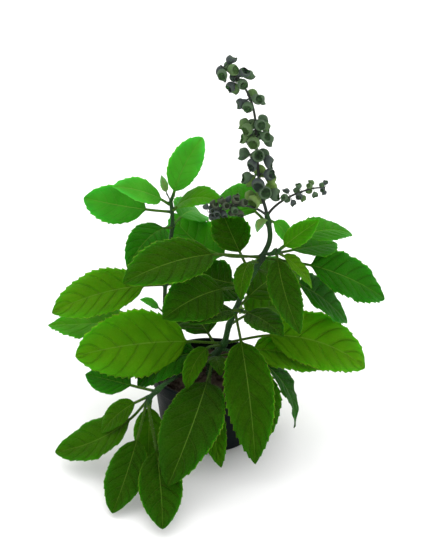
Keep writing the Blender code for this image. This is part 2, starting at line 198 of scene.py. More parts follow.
def ramp(value, low, high):
    """0 below low, 1 above high, and a soft step between them."""
    t = np.clip((np.asarray(value, float) - low) / (high - low), 0, 1)
    return t * t * (3 - 2 * t)


def quads_between(rings):
    """Four-cornered faces from each ring of corner numbers to the next."""
    after = np.roll(rings, -1, axis=1)
    return np.stack([rings[:-1], after[:-1], after[1:], rings[1:]], -1).reshape(-1, 4)


def spokes_round(count):
    """The angles of equal spokes round a ring."""
    return 2 * math.pi * np.arange(count) / count


# %% [markdown]
# ## Building blocks for materials
# Several finishes share the same effects: soft patches of lighter and darker colour, a fine
# grain, and the veins of a leaf. Each effect is a node group with named inputs, made once, so
# that a finish only says how big and how strong it is there. Painting each surface by hand would
# also work, but these patterns hold at any distance and need no picture files.

# %% Helpers that make nodes and join them
def plug(tree, value, socket):
    """Joins a socket to another, or sets a plain value on it."""
    if isinstance(value, bpy.types.NodeSocket):
        tree.links.new(value, socket)
    else:
        socket.default_value = value


def calc(tree, operation, *values, clamp=False):
    """One sum of a material, on sockets or plain values."""
    node = tree.nodes.new("ShaderNodeMath")
    node.operation = operation
    node.use_clamp = clamp
    for value, socket in zip(values, node.inputs):
        plug(tree, value, socket)
    return node.outputs[0]


def mixed(tree, share, low, high, way="MIX"):
    """A colour between two, or one colour laid over another in another way."""
    node = tree.nodes.new("ShaderNodeMix")
    node.data_type = "RGBA"
    node.blend_type = way
    for value, socket in zip((share, low, high), (node.inputs[0], node.inputs[6], node.inputs[7])):
        plug(tree, value, socket)
    return node.outputs[2]


def soft_step(tree, value, low, high):
    """0 below low and 1 above high."""
    node = tree.nodes.new("ShaderNodeMapRange")
    node.interpolation_type = "SMOOTHSTEP"
    for name, number in (("Value", value), ("From Min", low), ("From Max", high)):
        plug(tree, number, node.inputs[name])
    return node.outputs[0]


def new_group(name, inputs, outputs):
    """An empty node group with its named sockets, and its two end nodes."""
    tree = bpy.data.node_groups.new(name, "ShaderNodeTree")
    for label, usual in inputs.items():
        kind = "NodeSocketVector" if usual is None else "NodeSocketFloat"
        socket = tree.interface.new_socket(label, in_out="INPUT", socket_type=kind)
        if usual is not None:
            socket.default_value = usual
    for label in outputs:
        tree.interface.new_socket(label, in_out="OUTPUT", socket_type="NodeSocketFloat")
    return tree, tree.nodes.new("NodeGroupInput").outputs, tree.nodes.new("NodeGroupOutput").inputs


def use(tree, group, **values):
    """Places a group in a material, with its values, and gives its outputs."""
    node = tree.nodes.new("ShaderNodeGroup")
    node.node_tree = group
    for name, value in values.items():
        plug(tree, value, node.inputs[name.replace("_", " ").capitalize()])
    return node.outputs


# %% Group: soft patches
patches, given, result = new_group(
    "soft_patches", {"Place": None, "Size": 0.01, "Contrast": 2.0}, ["Patches"]
)
cloud = patches.nodes.new("ShaderNodeTexNoise")
plug(patches, given["Place"], cloud.inputs["Vector"])
plug(patches, calc(patches, "DIVIDE", 1.0, given["Size"]), cloud.inputs["Scale"])
cloud.inputs["Detail"].default_value = 4
centred = calc(patches, "SUBTRACT", cloud.outputs[0], 0.5)
spread = calc(patches, "MULTIPLY", centred, given["Contrast"])
plug(patches, calc(patches, "ADD", spread, 0.5, clamp=True), result["Patches"])

# %% Group: fine grain
grain, given, result = new_group(
    "fine_grain", {"Place": None, "Size": 0.001, "Roughness": 0.6}, ["Height"]
)
dust = grain.nodes.new("ShaderNodeTexNoise")
plug(grain, given["Place"], dust.inputs["Vector"])
plug(grain, calc(grain, "DIVIDE", 1.0, given["Size"]), dust.inputs["Scale"])
plug(grain, given["Roughness"], dust.inputs["Roughness"])
dust.inputs["Detail"].default_value = 3
plug(grain, dust.outputs[0], result["Height"])

# %% Group: leaf veins
# Along runs from 0 at the blade's base to 1 at its tip, and across from -1 to 1.
VEIN_PAIRS = 6.5  # counted over the whole length of the blade
VEIN_LEAN = 0.17  # how far towards the tip a vein runs on its way out, as a share of the blade
VEIN_SWEEP = 0.10  # how much more than that it runs near the edge
VEIN_OFFSET = 0.22  # how far one side's veins leave the midrib after the other side's
NET_LINE = 0.12
CUSHION_EDGE = 0.17  # how far from a vein its cushion is at its full height

veins, given, result = new_group(
    "leaf_veins",
    {"Along": 0.5, "Across": 0.0, "Pairs": 6.0, "Thickness": 0.07, "Place": None, "Net size": 0.0014},
    ["Midrib", "Side veins", "Net", "Cushions"],
)
out_from_middle = calc(veins, "ABSOLUTE", given["Across"])
forward = calc(veins, "MULTIPLY_ADD", out_from_middle, -VEIN_SWEEP, -VEIN_LEAN)
start = calc(veins, "MULTIPLY_ADD", forward, out_from_middle, given["Along"])
late = calc(veins, "MULTIPLY", calc(veins, "GREATER_THAN", given["Across"], 0.0), VEIN_OFFSET)
number = calc(veins, "MULTIPLY_ADD", start, given["Pairs"], late)
halfway = calc(veins, "FRACT", calc(veins, "ADD", number, 0.5))
apart = calc(veins, "ABSOLUTE", calc(veins, "SUBTRACT", halfway, 0.5))
narrowing = calc(veins, "MULTIPLY_ADD", out_from_middle, -0.7, 1.0)
side_width = calc(veins, "MULTIPLY", given["Thickness"], narrowing)
side_vein = calc(veins, "SUBTRACT", 1.0, soft_step(veins, apart, 0.0, side_width))
fading = calc(veins, "SUBTRACT", 1.0, soft_step(veins, out_from_middle, 0.75, 0.97))
plug(veins, calc(veins, "MULTIPLY", side_vein, fading), result["Side veins"])
plug(veins, soft_step(veins, apart, 0.0, CUSHION_EDGE), result["Cushions"])
mid_width = calc(veins, "MULTIPLY_ADD", given["Along"], -0.015, 0.036)
off_midrib = soft_step(veins, out_from_middle, 0.0, mid_width)
plug(veins, calc(veins, "SUBTRACT", 1.0, off_midrib), result["Midrib"])
cells = veins.nodes.new("ShaderNodeTexVoronoi")
cells.feature = "DISTANCE_TO_EDGE"
plug(veins, given["Place"], cells.inputs["Vector"])
plug(veins, calc(veins, "DIVIDE", 1.0, given["Net size"]), cells.inputs["Scale"])
off_net = soft_step(veins, cells.outputs["Distance"], 0.0, NET_LINE)
plug(veins, calc(veins, "SUBTRACT", 1.0, off_net), result["Net"])
print("node groups:", [tree.name for tree in bpy.data.node_groups])


# %% Helper: a new Principled material
def new_material(name, **settings):
    """A material, its node tree, its shader and the place on the surface that patterns read."""
    finish = bpy.data.materials.new(name)
    finish.use_nodes = True
    tree = finish.node_tree
    shader = tree.nodes["Principled BSDF"]
    for label, value in settings.items():
        shader.inputs[label.replace("_", " ")].default_value = value
    return finish, tree, shader, tree.nodes.new("ShaderNodeTexCoord").outputs["Object"]


def bumped(tree, shader, height, depth):
    """Raises the surface by a height from 0 to 1 times a depth in metres."""
    bump = tree.nodes.new("ShaderNodeBump")
    bump.inputs["Distance"].default_value = depth
    plug(tree, height, bump.inputs["Height"])
    plug(tree, bump.outputs[0], shader.inputs["Normal"])


def painted_value(tree, name):
    """A number or colour that the mesh itself carries at each corner."""
    node = tree.nodes.new("ShaderNodeAttribute")
    node.attribute_name = name
    return node


# %% Floor material
floor_finish, tree, shader, place = new_material("pale_floor", Roughness=0.9)
shade = use(tree, patches, place=place, size=0.9, contrast=0.6)["Patches"]
plug(tree, mixed(tree, shade, (0.91, 0.91, 0.91, 1), (0.93, 0.93, 0.93, 1)), shader.inputs["Base Color"])
floor.data.materials.append(floor_finish)
print("floor material:", floor_finish.name)

# %% [markdown]
# ## Leaf finish
# A basil leaf is thin, soft and a little hairy. Its top is deep green with a paler midrib, sunken
# side veins and a net of tiny veins between them. Its underside is paler and duller, and light
# from behind comes through as a bright yellow-green. The thin blade is a closed solid here, so
# scattering under the surface carries that light through. A see-through shader would do it too,
# but scattering keeps the leaf's own colour and softens the light as the tissue does.
# On top of that, each leaf's colour carries painted shade at its base and along its side veins, and
# painted light at its tip and edges.

# %% Make the leaf materials
SHADED_TOP = (0.5, 0.6, 0.45, 1)
# Painted light: the tint that turns a leaf's tip and edges brighter and more emerald, as if lit through
# from behind.
BACKLIT_GLOW_TINT = (0.85, 1.38, 2.4, 1)
PALE_UNDERSIDE = (0.06, 0.16, 0.012, 1)
STALK_GREEN = (0.05, 0.10, 0.015, 1)
LEAF_BUMP = 0.8 * MM


def leaf_colour(tree, tint, along, across, lines, blotches, relief, vein_tone):
    """The colour of a leaf's top: green patches, pale veins, age and painted shade at the base, painted
    vein shade, painted light at tip and edges.
    """
    # Painted shade: the green darkens towards the leaf's base, partly with age and partly as painted
    # shade from the leaves around it, and in narrow bands of painted shade along the side veins, scaled
    # by the leaf's relief.
    darker = mixed(tree, 1.0, tint, SHADED_TOP, "MULTIPLY")
    base_shade_and_age = calc(tree, "MULTIPLY_ADD", along, 0.5, -0.15)
    vein_shade_strength = calc(tree, "MULTIPLY", relief, 0.17)
    painted_shade_share = calc(tree, "MULTIPLY_ADD", lines["Cushions"], vein_shade_strength, base_shade_and_age)
    fresh = calc(tree, "MULTIPLY_ADD", blotches, 0.65, painted_shade_share, clamp=True)
    colour = mixed(tree, fresh, darker, tint)
    # Painted light: towards the tip and the edges the green turns brighter and more emerald, a painted
    # glow of light coming through the leaf from behind.
    outwards = calc(tree, "ABSOLUTE", across)
    to_the_rim = calc(tree, "MULTIPLY_ADD", along, 0.7, calc(tree, "MULTIPLY", outwards, 0.6))
    rim = soft_step(tree, to_the_rim, 0.6, 1.25)
    glow_colour = mixed(tree, 1.0, colour, BACKLIT_GLOW_TINT, "MULTIPLY")
    colour = mixed(tree, calc(tree, "MULTIPLY", rim, 0.8), colour, glow_colour)
    for line, strength in (("Net", 0.06), ("Side veins", 0.11), ("Midrib", 0.6)):
        colour = mixed(tree, calc(tree, "MULTIPLY", lines[line], strength), colour, vein_tone)
    # Painted highlight: a thin pale line along the very edge of the blade.
    lit_outline = soft_step(tree, outwards, 0.95, 1.0)
    return mixed(tree, calc(tree, "MULTIPLY", lit_outline, 0.3), colour, vein_tone)


def leaf_finish(name, vein_tone, roughness, scatter):
    finish, tree, shader, place = new_material(
        name, Subsurface_Weight=scatter, Subsurface_Scale=0.0012, Specular_IOR_Level=0.03,
    )
    shader.inputs["Subsurface Radius"].default_value = (0.35, 1.0, 0.15)
    shader.inputs["Specular Tint"].default_value = (0.6, 1.0, 0.2, 1)
    along = painted_value(tree, "along").outputs["Fac"]
    across = painted_value(tree, "across").outputs["Fac"]
    under = painted_value(tree, "under").outputs["Fac"]
    tint = painted_value(tree, "tint").outputs["Color"]
    relief = painted_value(tree, "relief").outputs["Fac"]
    lines = use(
        tree, veins, along=along, across=across, pairs=VEIN_PAIRS, thickness=0.09,
        place=place, net_size=0.0015,
    )
    blotches = use(tree, patches, place=place, size=0.012, contrast=2.2)["Patches"]
    fine = use(tree, grain, place=place, size=0.0005, roughness=0.6)["Height"]

    colour = leaf_colour(tree, tint, along, across, lines, blotches, relief, vein_tone)
    colour = mixed(tree, under, colour, mixed(tree, 0.12, colour, PALE_UNDERSIDE))
    stalk = calc(tree, "SUBTRACT", 1.0, soft_step(tree, along, -0.02, 0.03))
    colour = mixed(tree, calc(tree, "MULTIPLY", stalk, 0.75), colour, STALK_GREEN)
    plug(tree, colour, shader.inputs["Base Color"])

    dull = calc(tree, "MULTIPLY_ADD", fine, 0.12, roughness)
    plug(tree, calc(tree, "MULTIPLY_ADD", under, 0.15, dull), shader.inputs["Roughness"])
    height = calc(tree, "MULTIPLY_ADD", lines["Side veins"], -0.5, calc(tree, "MULTIPLY", fine, 0.25))
    height = calc(tree, "MULTIPLY_ADD", lines["Cushions"], 0.22, height)
    height = calc(tree, "MULTIPLY_ADD", lines["Net"], -0.15, height)
    bumped(tree, shader, calc(tree, "MULTIPLY", height, relief), LEAF_BUMP)
    return finish


leaf_green = leaf_finish("leaf_tissue", (0.13, 0.25, 0.03, 1), roughness=0.42, scatter=0.5)
young_green = leaf_finish("young_leaf_tissue", (0.2, 0.34, 0.05, 1), roughness=0.5, scatter=0.55)
print("leaf materials:", leaf_green.name, young_green.name)

# %% [markdown]
# ## Leaf shape
# The solid leaf is a plain loft: a round stalk that opens into a blade of eight points a ring.
# The real blade has a toothed, slightly wavy edge, a sunken midrib, and puffed cushions between
# its side veins. So each leaf is lofted again along the same middle line and to the same width,
# with fine rings. A flat card with a painted outline would be lighter, but its edge and its
# relief would vanish from the side.

# %% Read a leaf's skeleton from its solid
RING_CORNERS = 8
STALK_RINGS = 2


def leaf_rings(name):
    """The rings of a leaf solid from its stalk's foot to its tip, found by walking from the tip."""
    shape = welded(name)
    for corner in shape.verts:
        if len(corner.link_edges) != RING_CORNERS:
            continue
        rows = rows_from([corner])
        if len(rows) > 4 and all(len(row) == RING_CORNERS for row in rows[1:]):
            break
    rings = [places(row) for row in rows[::-1]]
    shape.free()
    return rings


def read_blade_ring(ring, ahead):
    """A ring's top, its side and upward directions, its half width and how far its edges rise."""
    apart = np.linalg.norm(ring[:, None] - ring[None], axis=2)
    i, j = np.unravel_index(apart.argmax(), apart.shape)
    middle, across = (ring[i] + ring[j]) / 2, ring[i] - ring[j]
    rest = [k for k in range(RING_CORNERS) if k not in (i, j)]
    share = [abs((ring[k] - middle) @ across) for k in rest]
    near = [rest[k] for k in np.argsort(share)[:2]]
    line = unit(across)
    off = [np.linalg.norm((ring[k] - middle) - ((ring[k] - middle) @ line) * line) for k in near]
    keel, top = near[int(np.argmax(off))], near[int(np.argmin(off))]
    above = unit(ring[top] - ring[keel])
    if np.cross(above, ahead) @ across < 0:
        line = -line
    return ring[top], line, above, np.linalg.norm(across) / 2, (middle - ring[top]) @ above


def with_ends(rows):
    """Repeats the first row for the stalk's two rings and the last one for the tip."""
    return np.vstack([rows[:1], rows[:1], rows, rows[-1:]])


def read_leaf(name):
    """The middle line, side and upward directions and half widths of a leaf solid."""
    rings = leaf_rings(name)
    stalk, tip = rings[:STALK_RINGS], rings[-1][0]
    centres = [ring.mean(0) for ring in rings]
    found = []
    for number, ring in enumerate(rings[STALK_RINGS:-1], STALK_RINGS):
        ahead = centres[min(number + 1, len(centres) - 1)] - centres[number - 1]
        found.append(read_blade_ring(ring, ahead))
    tops, sides, aboves, halves, rises = (np.array(column) for column in zip(*found))
    return {
        "middle": np.vstack([stalk[0].mean(0), stalk[1].mean(0), tops, tip]),
        "side": with_ends(sides),
        "above": with_ends(aboves),
        "half": halves,
        "fold": float(np.median(rises / halves)),
        "stalk_radius": float(np.linalg.norm(stalk[0] - stalk[0].mean(0), axis=1).mean()),
    }


leaf_bones = {name: read_leaf(name) for name in leaf_names}
longest = max(leaf_names, key=lambda name: leaf_bones[name]["half"].max())
print("widest leaf:", longest, round(leaf_bones[longest]["half"].max() * 2 / MM, 1), "mm")


# %% The blade's outline, with its teeth
LEAF_COLUMNS = 27
COLUMN_CROWDING = 1.25  # over 1, the columns stand closer together near the midrib
TOOTH_SPACING = 3.6 * MM
TOOTH_STEPS = (0, 0.4, 0.75, 0.93)
STALK_SINK = 0.9 * MM  # how far the stalk starts behind the foot of its solid
STALK_RINGS_DRAWN = 8
WAVE_TURN = 6.28  # one full wave, in radians


def outline(bones, stations):
    """The blade's half width at each station, by the law that fits the solid's own rings."""
    distance = lengths_along(bones["middle"])[1:]
    t = ((distance - distance[0]) / (distance[-1] - distance[0]))[1:-1]
    terms = np.stack([np.ones_like(t), np.log(t), np.log(1 - t)], 1)
    size, base, tip = np.linalg.lstsq(terms, np.log(bones["half"]), rcond=None)[0]
    inside = np.clip(stations, 1e-4, 1 - 1e-4)
    return np.exp(size + base * np.log(inside) + tip * np.log(1 - inside))


def leaf_stations(foot, blade, teeth):
    """How far along the middle line each ring of a fine leaf is."""
    stations = [(k + step) / teeth for k in range(teeth) for step in TOOTH_STEPS][1:]
    stations = np.array([0.002, 0.012] + stations + [0.985])
    stations = np.unique(stations[stations < 0.99])
    stalk = np.linspace(-STALK_SINK, foot, STALK_RINGS_DRAWN + 1)[:-1]
    return np.concatenate([stalk, foot + stations * blade])


def toothed_reach(T, V, half, teeth, tooth, dice):
    """How far the blade reaches sideways at each ring T and column V."""
    bite = (np.clip(T, 0, 1) * teeth) % 1
    bite = (bite ** 1.4 - 0.45) * tooth * ramp(T, 0.06, 0.22) * (1 - ramp(T, 0.9, 1))
    return half[:, None] + bite * np.abs(V) ** 5 * (1 - 0.2 * np.sign(V) * dice.uniform(-1, 1))


# %% The blade's relief
SHEET = 0.15 * MM  # half the blade's thickness
MIDRIB_WIDTH = 0.55 * MM
MIDRIB_SUNK = 0.16 * MM
VEIN_SWELL = 0.12 * MM


def top_and_bottom(T, V, width, half, fold, wave, quilt, dice):
    """The heights of the blade's upper and lower faces, with ribs, cushions and a wavy edge."""
    out = np.abs(V)
    number = (T - VEIN_LEAN * out - VEIN_SWEEP * out**2) * VEIN_PAIRS + VEIN_OFFSET * (V > 0)
    apart = np.abs((number + 0.5) % 1 - 0.5)
    cushion = (1 - np.exp(-(apart / 0.2) ** 2)) * ramp(out, 0.02, 0.25) * (1 - ramp(out, 0.7, 1))
    cushion = cushion * quilt * ramp(T, 0, 0.15) * (1 - ramp(T, 0.75, 1))
    rounded_fold = np.sqrt(V**2 + 0.02) - math.sqrt(0.02)
    lift = fold * half[:, None] * rounded_fold + cushion
    turns, start = dice.uniform(1.6, 3.0), dice.uniform(0, WAVE_TURN, 2)
    phase = np.where(V > 0, start[0], start[1])
    ripple = np.sin(WAVE_TURN * turns * T + phase)
    ripple = ripple + 0.5 * np.sin(WAVE_TURN * 2.3 * turns * T + 2 * phase)
    lift = lift + wave * ripple * out ** 2.2 * np.sin(math.pi * np.clip(T, 0, 1)) ** 0.5
    thick = SHEET * (1 - 0.55 * out**6) * np.ones_like(T)
    rib = np.exp(-(width / MIDRIB_WIDTH) ** 2)
    top = lift + thick - MIDRIB_SUNK * rib * ramp(T, 0, 0.1)
    swell = VEIN_SWELL * np.exp(-(apart / 0.09) ** 2) * ramp(out, 0, 0.05) * (1 - ramp(out, 0.6, 0.95))
    bottom = lift - thick - (0.5 - 0.35 * np.clip(T, 0, 1)) * MM * rib - swell
    top[:, [0, -1]] = lift[:, [0, -1]]
    bottom[:, [0, -1]] = lift[:, [0, -1]]
    return top, bottom


# %% Loft a fine leaf along its skeleton
def build_leaf(bones, seed, tooth, wave, quilt):
    """Points, faces and painted values of one fine leaf."""
    dice = np.random.default_rng(seed)
    middle_line = bones["middle"]
    distance = lengths_along(middle_line)
    foot, full = distance[1], distance[-1]
    blade = full - foot
    teeth = max(4, round(blade / TOOTH_SPACING))
    along = leaf_stations(foot, blade, teeth)
    t = (along - foot) / blade
    middle = curve_through(distance, middle_line, np.clip(along, 0, full))
    middle += np.minimum(along, 0)[:, None] * unit(middle_line[1] - middle_line[0])
    above = unit(curve_through(distance, bones["above"], np.clip(along, 0, full)))
    side = curve_through(distance, bones["side"], np.clip(along, 0, full))
    side = unit(side - (side * above).sum(1, keepdims=True) * above)

    half = outline(bones, t)
    x = np.linspace(1, -1, LEAF_COLUMNS)
    v = np.sign(x) * np.abs(x) ** COLUMN_CROWDING
    T, V = t[:, None], v[None, :]
    width = V * toothed_reach(T, V, half, teeth, tooth, dice)
    top, bottom = top_and_bottom(T, V, width, half, bones["fold"], wave, quilt, dice)

    inner = slice(LEAF_COLUMNS - 2, 0, -1)
    sideways = np.hstack([width, width[:, inner]])
    upwards = np.hstack([top, bottom[:, inner]])
    count = sideways.shape[1]
    angle = spokes_round(count)
    radius = bones["stalk_radius"] * (1.15 + 0.35 * np.exp(-np.maximum(along, 0) / (1.2 * MM)))
    flat = 1 - 0.2 * np.maximum(np.sin(angle), 0) ** 2
    round_side = radius[:, None] * np.cos(angle)
    round_up = radius[:, None] * np.sin(angle) * flat
    open_up = ramp(t, 0.0, 0.06)[:, None]
    sideways = round_side * (1 - open_up) + sideways * open_up
    upwards = round_up * (1 - open_up) + upwards * open_up
    points = middle[:, None] + side[:, None] * sideways[..., None] + above[:, None] * upwards[..., None]

    rings = len(t)
    points = np.vstack([points.reshape(-1, 3), middle_line[-1:]])
    index = np.arange(rings * count).reshape(rings, count)
    faces = quads_between(index).tolist()
    last = index[-1].tolist()
    faces += [(last[k], last[(k + 1) % count], rings * count) for k in range(count)]
    faces.append(index[0, ::-1].tolist())
    across = np.tile(np.concatenate([v, v[inner]]), (rings, 1)).ravel()
    lower = np.tile(np.arange(count) >= LEAF_COLUMNS, (rings, 1)).ravel()
    painted = {
        "along": np.append(np.repeat(t, count), 1.0),
        "across": np.append(across, 0.0),
        "under": np.append(lower, 0.0),
    }
    return points, faces, painted


# %% Make a piece and paint it
def piece(name, points, faces, finish, slot, smooth=True):
    """A mesh object of its own that rides on the plant."""
    mesh = bpy.data.meshes.new(name)
    mesh.from_pydata([tuple(point) for point in points], [], faces)
    mesh.materials.append(finish)
    mesh.polygons.foreach_set("use_smooth", [smooth] * len(mesh.polygons))
    thing = bpy.data.objects.new(name, mesh)
    bpy.context.scene.collection.objects.link(thing)
    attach(thing, "root")
    return thing


def paint(thing, values, tint=None):
    """Stores numbers at each corner of a mesh, and one colour for all or one for each."""
    for name, numbers in values.items():
        layer = thing.data.attributes.new(name, "FLOAT", "POINT")
        layer.data.foreach_set("value", np.asarray(numbers, np.float32))
    if tint is not None:
        layer = thing.data.attributes.new("tint", "FLOAT_COLOR", "POINT")
        row = np.ones((len(thing.data.vertices), 4), np.float32)
        row[:, :3] = tint
        layer.data.foreach_set("color", row.ravel())


# %% [markdown]
# ## Leaf greens
# On a living plant no two leaves are the same green, and these greens also hold painted light and
# shade. Those at the outside and the top are thin and painted bright for the light that comes
# through them, those inside the plant are older and painted deep green as painted shade, and the
# youngest ones are yellowish. Twelve greens cover that range.

# %% Give each leaf its green and grow it
# Over each leaf's own green, the darker greens carry painted shade and the brighter ones painted light.
GREENS = {
    "shaded olive": (0.0150, 0.051, 0.001),
    "deep": (0.0166, 0.058, 0.001),
    "cool shade": (0.0080, 0.065, 0.001),
    "old": (0.0208, 0.069, 0.001),
    "middle": (0.0287, 0.093, 0.001),
    "cool": (0.0160, 0.117, 0.0026),
    "grass": (0.0290, 0.181, 0.002),
    "sunny": (0.0690, 0.191, 0.0025),
    "fresh": (0.0475, 0.195, 0.003),
    "emerald": (0.0370, 0.234, 0.011),
    "glowing": (0.0700, 0.337, 0.022),
    "pale bud": (0.1800, 0.300, 0.090),
}
GREEN_OF = {
    "shaded olive": ["foot_leaf_back", "foot_leaf_front_large", "front_shoot_leaf_left",
                     "front_shoot_leaf_right", "low_leaf_front_right"],
    "deep": ["inner_leaf_back_left", "inner_leaf_front_left", "low_leaf_front_left",
             "right_shoot_leaf_front"],
    "cool shade": ["base_shoot_leaf_outer", "foot_leaf_left"],
    "old": ["base_shoot_leaf_inner", "foot_leaf_small", "left_low_leaf_inner", "second_leaf_front",
            "third_leaf_left", "top_leaf_back"],
    "middle": ["first_leaf_narrow", "foot_leaf_front_small", "low_leaf_left", "low_leaf_left_small",
               "low_leaf_middle", "second_leaf_back", "third_leaf_young"],
    "cool": ["left_mid_leaf_front", "low_leaf_back", "third_leaf_right", "third_leaf_under_right"],
    "grass": ["bract_back", "right_shoot_leaf_back", "right_shoot_leaf_mid", "top_leaf_back_left"],
    "sunny": ["first_leaf_back", "first_leaf_left", "first_leaf_right", "foot_leaf_right",
              "left_low_leaf_front", "right_shoot_leaf_low"],
    "fresh": ["left_low_leaf_back", "left_top_leaf_right", "right_shoot_leaf_young"],
    "emerald": ["left_mid_leaf_back", "left_top_leaf_left"],
    "glowing": ["bract_right", "left_bud_leaf_folded", "left_bud_leaf_upright", "left_low_leaf_small"],
    "pale bud": ["bract_left", "left_bud_leaf_young"],
}
green_of = {name: green for green, names in GREEN_OF.items() for name in names}
RELIEF_SHARE = {"glowing": 0.15, "emerald": 0.2, "pale bud": 0.3, "fresh": 0.4, "grass": 0.6}
print(len(green_of), "leaves in", len(GREENS), "greens")

# %% Grow the leaves
FULL_HALF_WIDTH = 16 * MM  # of a leaf whose edge has its teeth and waves at their full size
LOW_TOOTH, TOOTH = 0.6 * MM, 1.25 * MM
EDGE_WAVE = 0.8 * MM
QUILT = 0.7 * MM

face_total = 0
for seed, name in enumerate(leaf_names):
    bones = leaf_bones[name]
    size = bones["half"].max() / FULL_HALF_WIDTH
    dice = np.random.default_rng(100 + seed)
    tooth = (LOW_TOOTH if name.startswith("low_") else TOOTH) * min(1, size) * dice.uniform(0.7, 1.1)
    wave = EDGE_WAVE * size * dice.uniform(0.6, 1.3)
    relief = RELIEF_SHARE.get(green_of[name], 1.0)
    points, faces, painted = build_leaf(bones, seed, tooth, wave, QUILT * min(1, size) * relief)
    painted["relief"] = np.full(len(points), relief)
    finish = young_green if slot_of[name] == "young_leaf" else leaf_green
    leaf = piece("fine_" + name, points, faces, finish, slot_of[name])
    paint(leaf, painted, GREENS[green_of[name]])
    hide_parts(name)
    face_total += len(faces)
print("leaves grown:", len(leaf_names), "with", face_total, "faces")

# %% [markdown]
# ## Stems
# Basil stems are square with rounded corners, swell where leaves join, and taper upwards. A bevelled
# curve would give a round tube of one thickness, so each stem is skinned ring by ring instead: the
# rings follow the solid's own middle line and radii, with the corners and swellings added.

# %% Read a tube's middle line and radii
def is_round(reach):
    """Whether corners at these distances from their middle make a circle."""
    return np.ptp(reach) < 0.03 * reach.mean()


def end_caps(shape):
    """The flat round ends of a tube, each as a list of corners."""
    seen, caps = set(), []
    for face in shape.faces:
        if face in seen:
            continue
        patch, queue = {face}, [face]
        while queue:
            for edge in queue.pop().edges:
                for other in edge.link_faces:
                    if other not in patch and other.normal.dot(face.normal) > 0.99999:
                        patch.add(other)
                        queue.append(other)
        seen |= patch
        corners = list({corner for item in patch for corner in item.verts})
        reach = np.linalg.norm(places(corners) - places(corners).mean(0), axis=1)
        if len(corners) >= 8 and is_round(reach):
            caps.append(corners)
    return caps


def read_tube(name):
    """Middle points and radii of a tube, thick end first."""
    shape = welded(name)
    shape.normal_update()
    rings = [places(row) for row in rows_from(end_caps(shape)[0])]
    shape.free()
    middles = np.array([ring.mean(0) for ring in rings])
    radii = np.array([np.linalg.norm(ring - ring.mean(0), axis=1).mean() for ring in rings])
    return (middles, radii) if radii[0] > radii[-1] else (middles[::-1], radii[::-1])


stem_bones = {name: read_tube(name) for name in stem_names}
for name, (middles, radii) in stem_bones.items():
    length = round(lengths_along(middles)[-1] / MM, 1)
    print(name, length, "mm long,", round(radii[0] / MM, 2), "mm in radius")


# %% Skin a line with rings
def turning_frames(line):
    """Two directions across a line at each point, carried along it without twisting."""
    ahead = unit(np.gradient(line, axis=0))
    across = unit(np.cross(ahead[0], (0.3, 0.9, 0.2)))
    sides = []
    for direction in ahead:
        across = unit(across - (across @ direction) * direction)
        sides.append(across)
    sides = np.array(sides)
    return sides, np.cross(ahead, sides), ahead


def skinned(line, reach):
    """Points and faces of a closed tube. reach: one row of radii round each point of the line."""
    side, other, _ = turning_frames(line)
    count = reach.shape[1]
    angle = spokes_round(count)
    spokes = side[:, None] * np.cos(angle)[:, None] + other[:, None] * np.sin(angle)[:, None]
    points = (line[:, None] + spokes * reach[..., None]).reshape(-1, 3)
    index = np.arange(len(points)).reshape(len(line), count)
    faces = quads_between(index).tolist()
    return points, faces + [index[0, ::-1].tolist(), index[-1].tolist()]


def gathered(parts):
    """Several (points, faces) shapes as one."""
    points, faces, total = [], [], 0
    for corners, sheets in parts:
        points.append(corners)
        faces += [[k + total for k in sheet] for sheet in sheets]
        total += len(corners)
    return np.vstack(points), faces


# %% Stem material
STEM_DARK, STEM_LIGHT = (0.006, 0.034, 0.007, 1), (0.03, 0.105, 0.018, 1)
STEM_FLUSH = (0.014, 0.012, 0.014, 1)

stem_finish, tree, shader, place = new_material("hairy_stem", Roughness=0.6, Specular_IOR_Level=0.08)
streaks = tree.nodes.new("ShaderNodeMapping")
streaks.inputs["Scale"].default_value = (1, 1, 0.25)
plug(tree, place, streaks.inputs["Vector"])
flush = use(tree, patches, place=streaks.outputs[0], size=0.005, contrast=2.5)["Patches"]
fibre = use(tree, grain, place=streaks.outputs[0], size=0.0005, roughness=0.7)["Height"]
green = mixed(tree, fibre, STEM_DARK, STEM_LIGHT)
colour = mixed(tree, calc(tree, "MULTIPLY", flush, 0.7), green, STEM_FLUSH)
plug(tree, colour, shader.inputs["Base Color"])
bumped(tree, shader, fibre, 0.15 * MM)
print("stem material:", stem_finish.name)

# %% Grow the stems
STEM_STEP = 0.6 * MM
STEM_SIDES = 24
SHOOT_SINK = 1.2 * MM  # how far a side stem starts inside the stem that it grows from
NODE_REACH = 3.5 * MM
NODE_SWELL, NODE_LENGTH = 0.16, 1.5 * MM
leaf_feet = np.array([leaf_bones[name]["middle"][0] for name in leaf_names])


def grow_stem(name, sink):
    """Skins one stem, and gives the line and the radii that it was skinned on."""
    middles, radii = stem_bones[name]
    distance = lengths_along(middles)
    spots = np.arange(-sink, distance[-1], STEM_STEP)
    inside = np.clip(spots, 0, None)
    line = curve_through(distance, middles, inside)
    line += np.minimum(spots, 0)[:, None] * unit(middles[1] - middles[0])
    radius = np.interp(inside, distance, radii)
    for foot in leaf_feet:
        apart = np.linalg.norm(line - foot, axis=1)
        if apart.min() < NODE_REACH:
            off = (spots - spots[apart.argmin()]) / NODE_LENGTH
            radius = radius * (1 + NODE_SWELL * np.exp(-off ** 2))
    angle = spokes_round(STEM_SIDES)
    square = 1 + 0.07 * np.cos(4 * angle) - 0.02 * np.cos(8 * angle)
    points, faces = skinned(line, radius[:, None] * square[None])
    stem = piece("fine_" + name, points, faces, stem_finish, "stem")
    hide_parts(name)
    return line, radius


stem_lines = {name: grow_stem(name, 0 if name == "main_stem" else SHOOT_SINK) for name in stem_names}
print("stems grown:", len(stem_lines))

# %% [markdown]
# ## Stalk feet
# Each leaf stalk grows out of its stem through a short thick foot. The solids stand a little apart,
# so a leaf that stopped there would float beside its stem. A bent tube from the stem's middle to
# the stalk closes the gap. Merging leaf and stem into one mesh would close it too, but then each
# would no longer be a piece of its own.

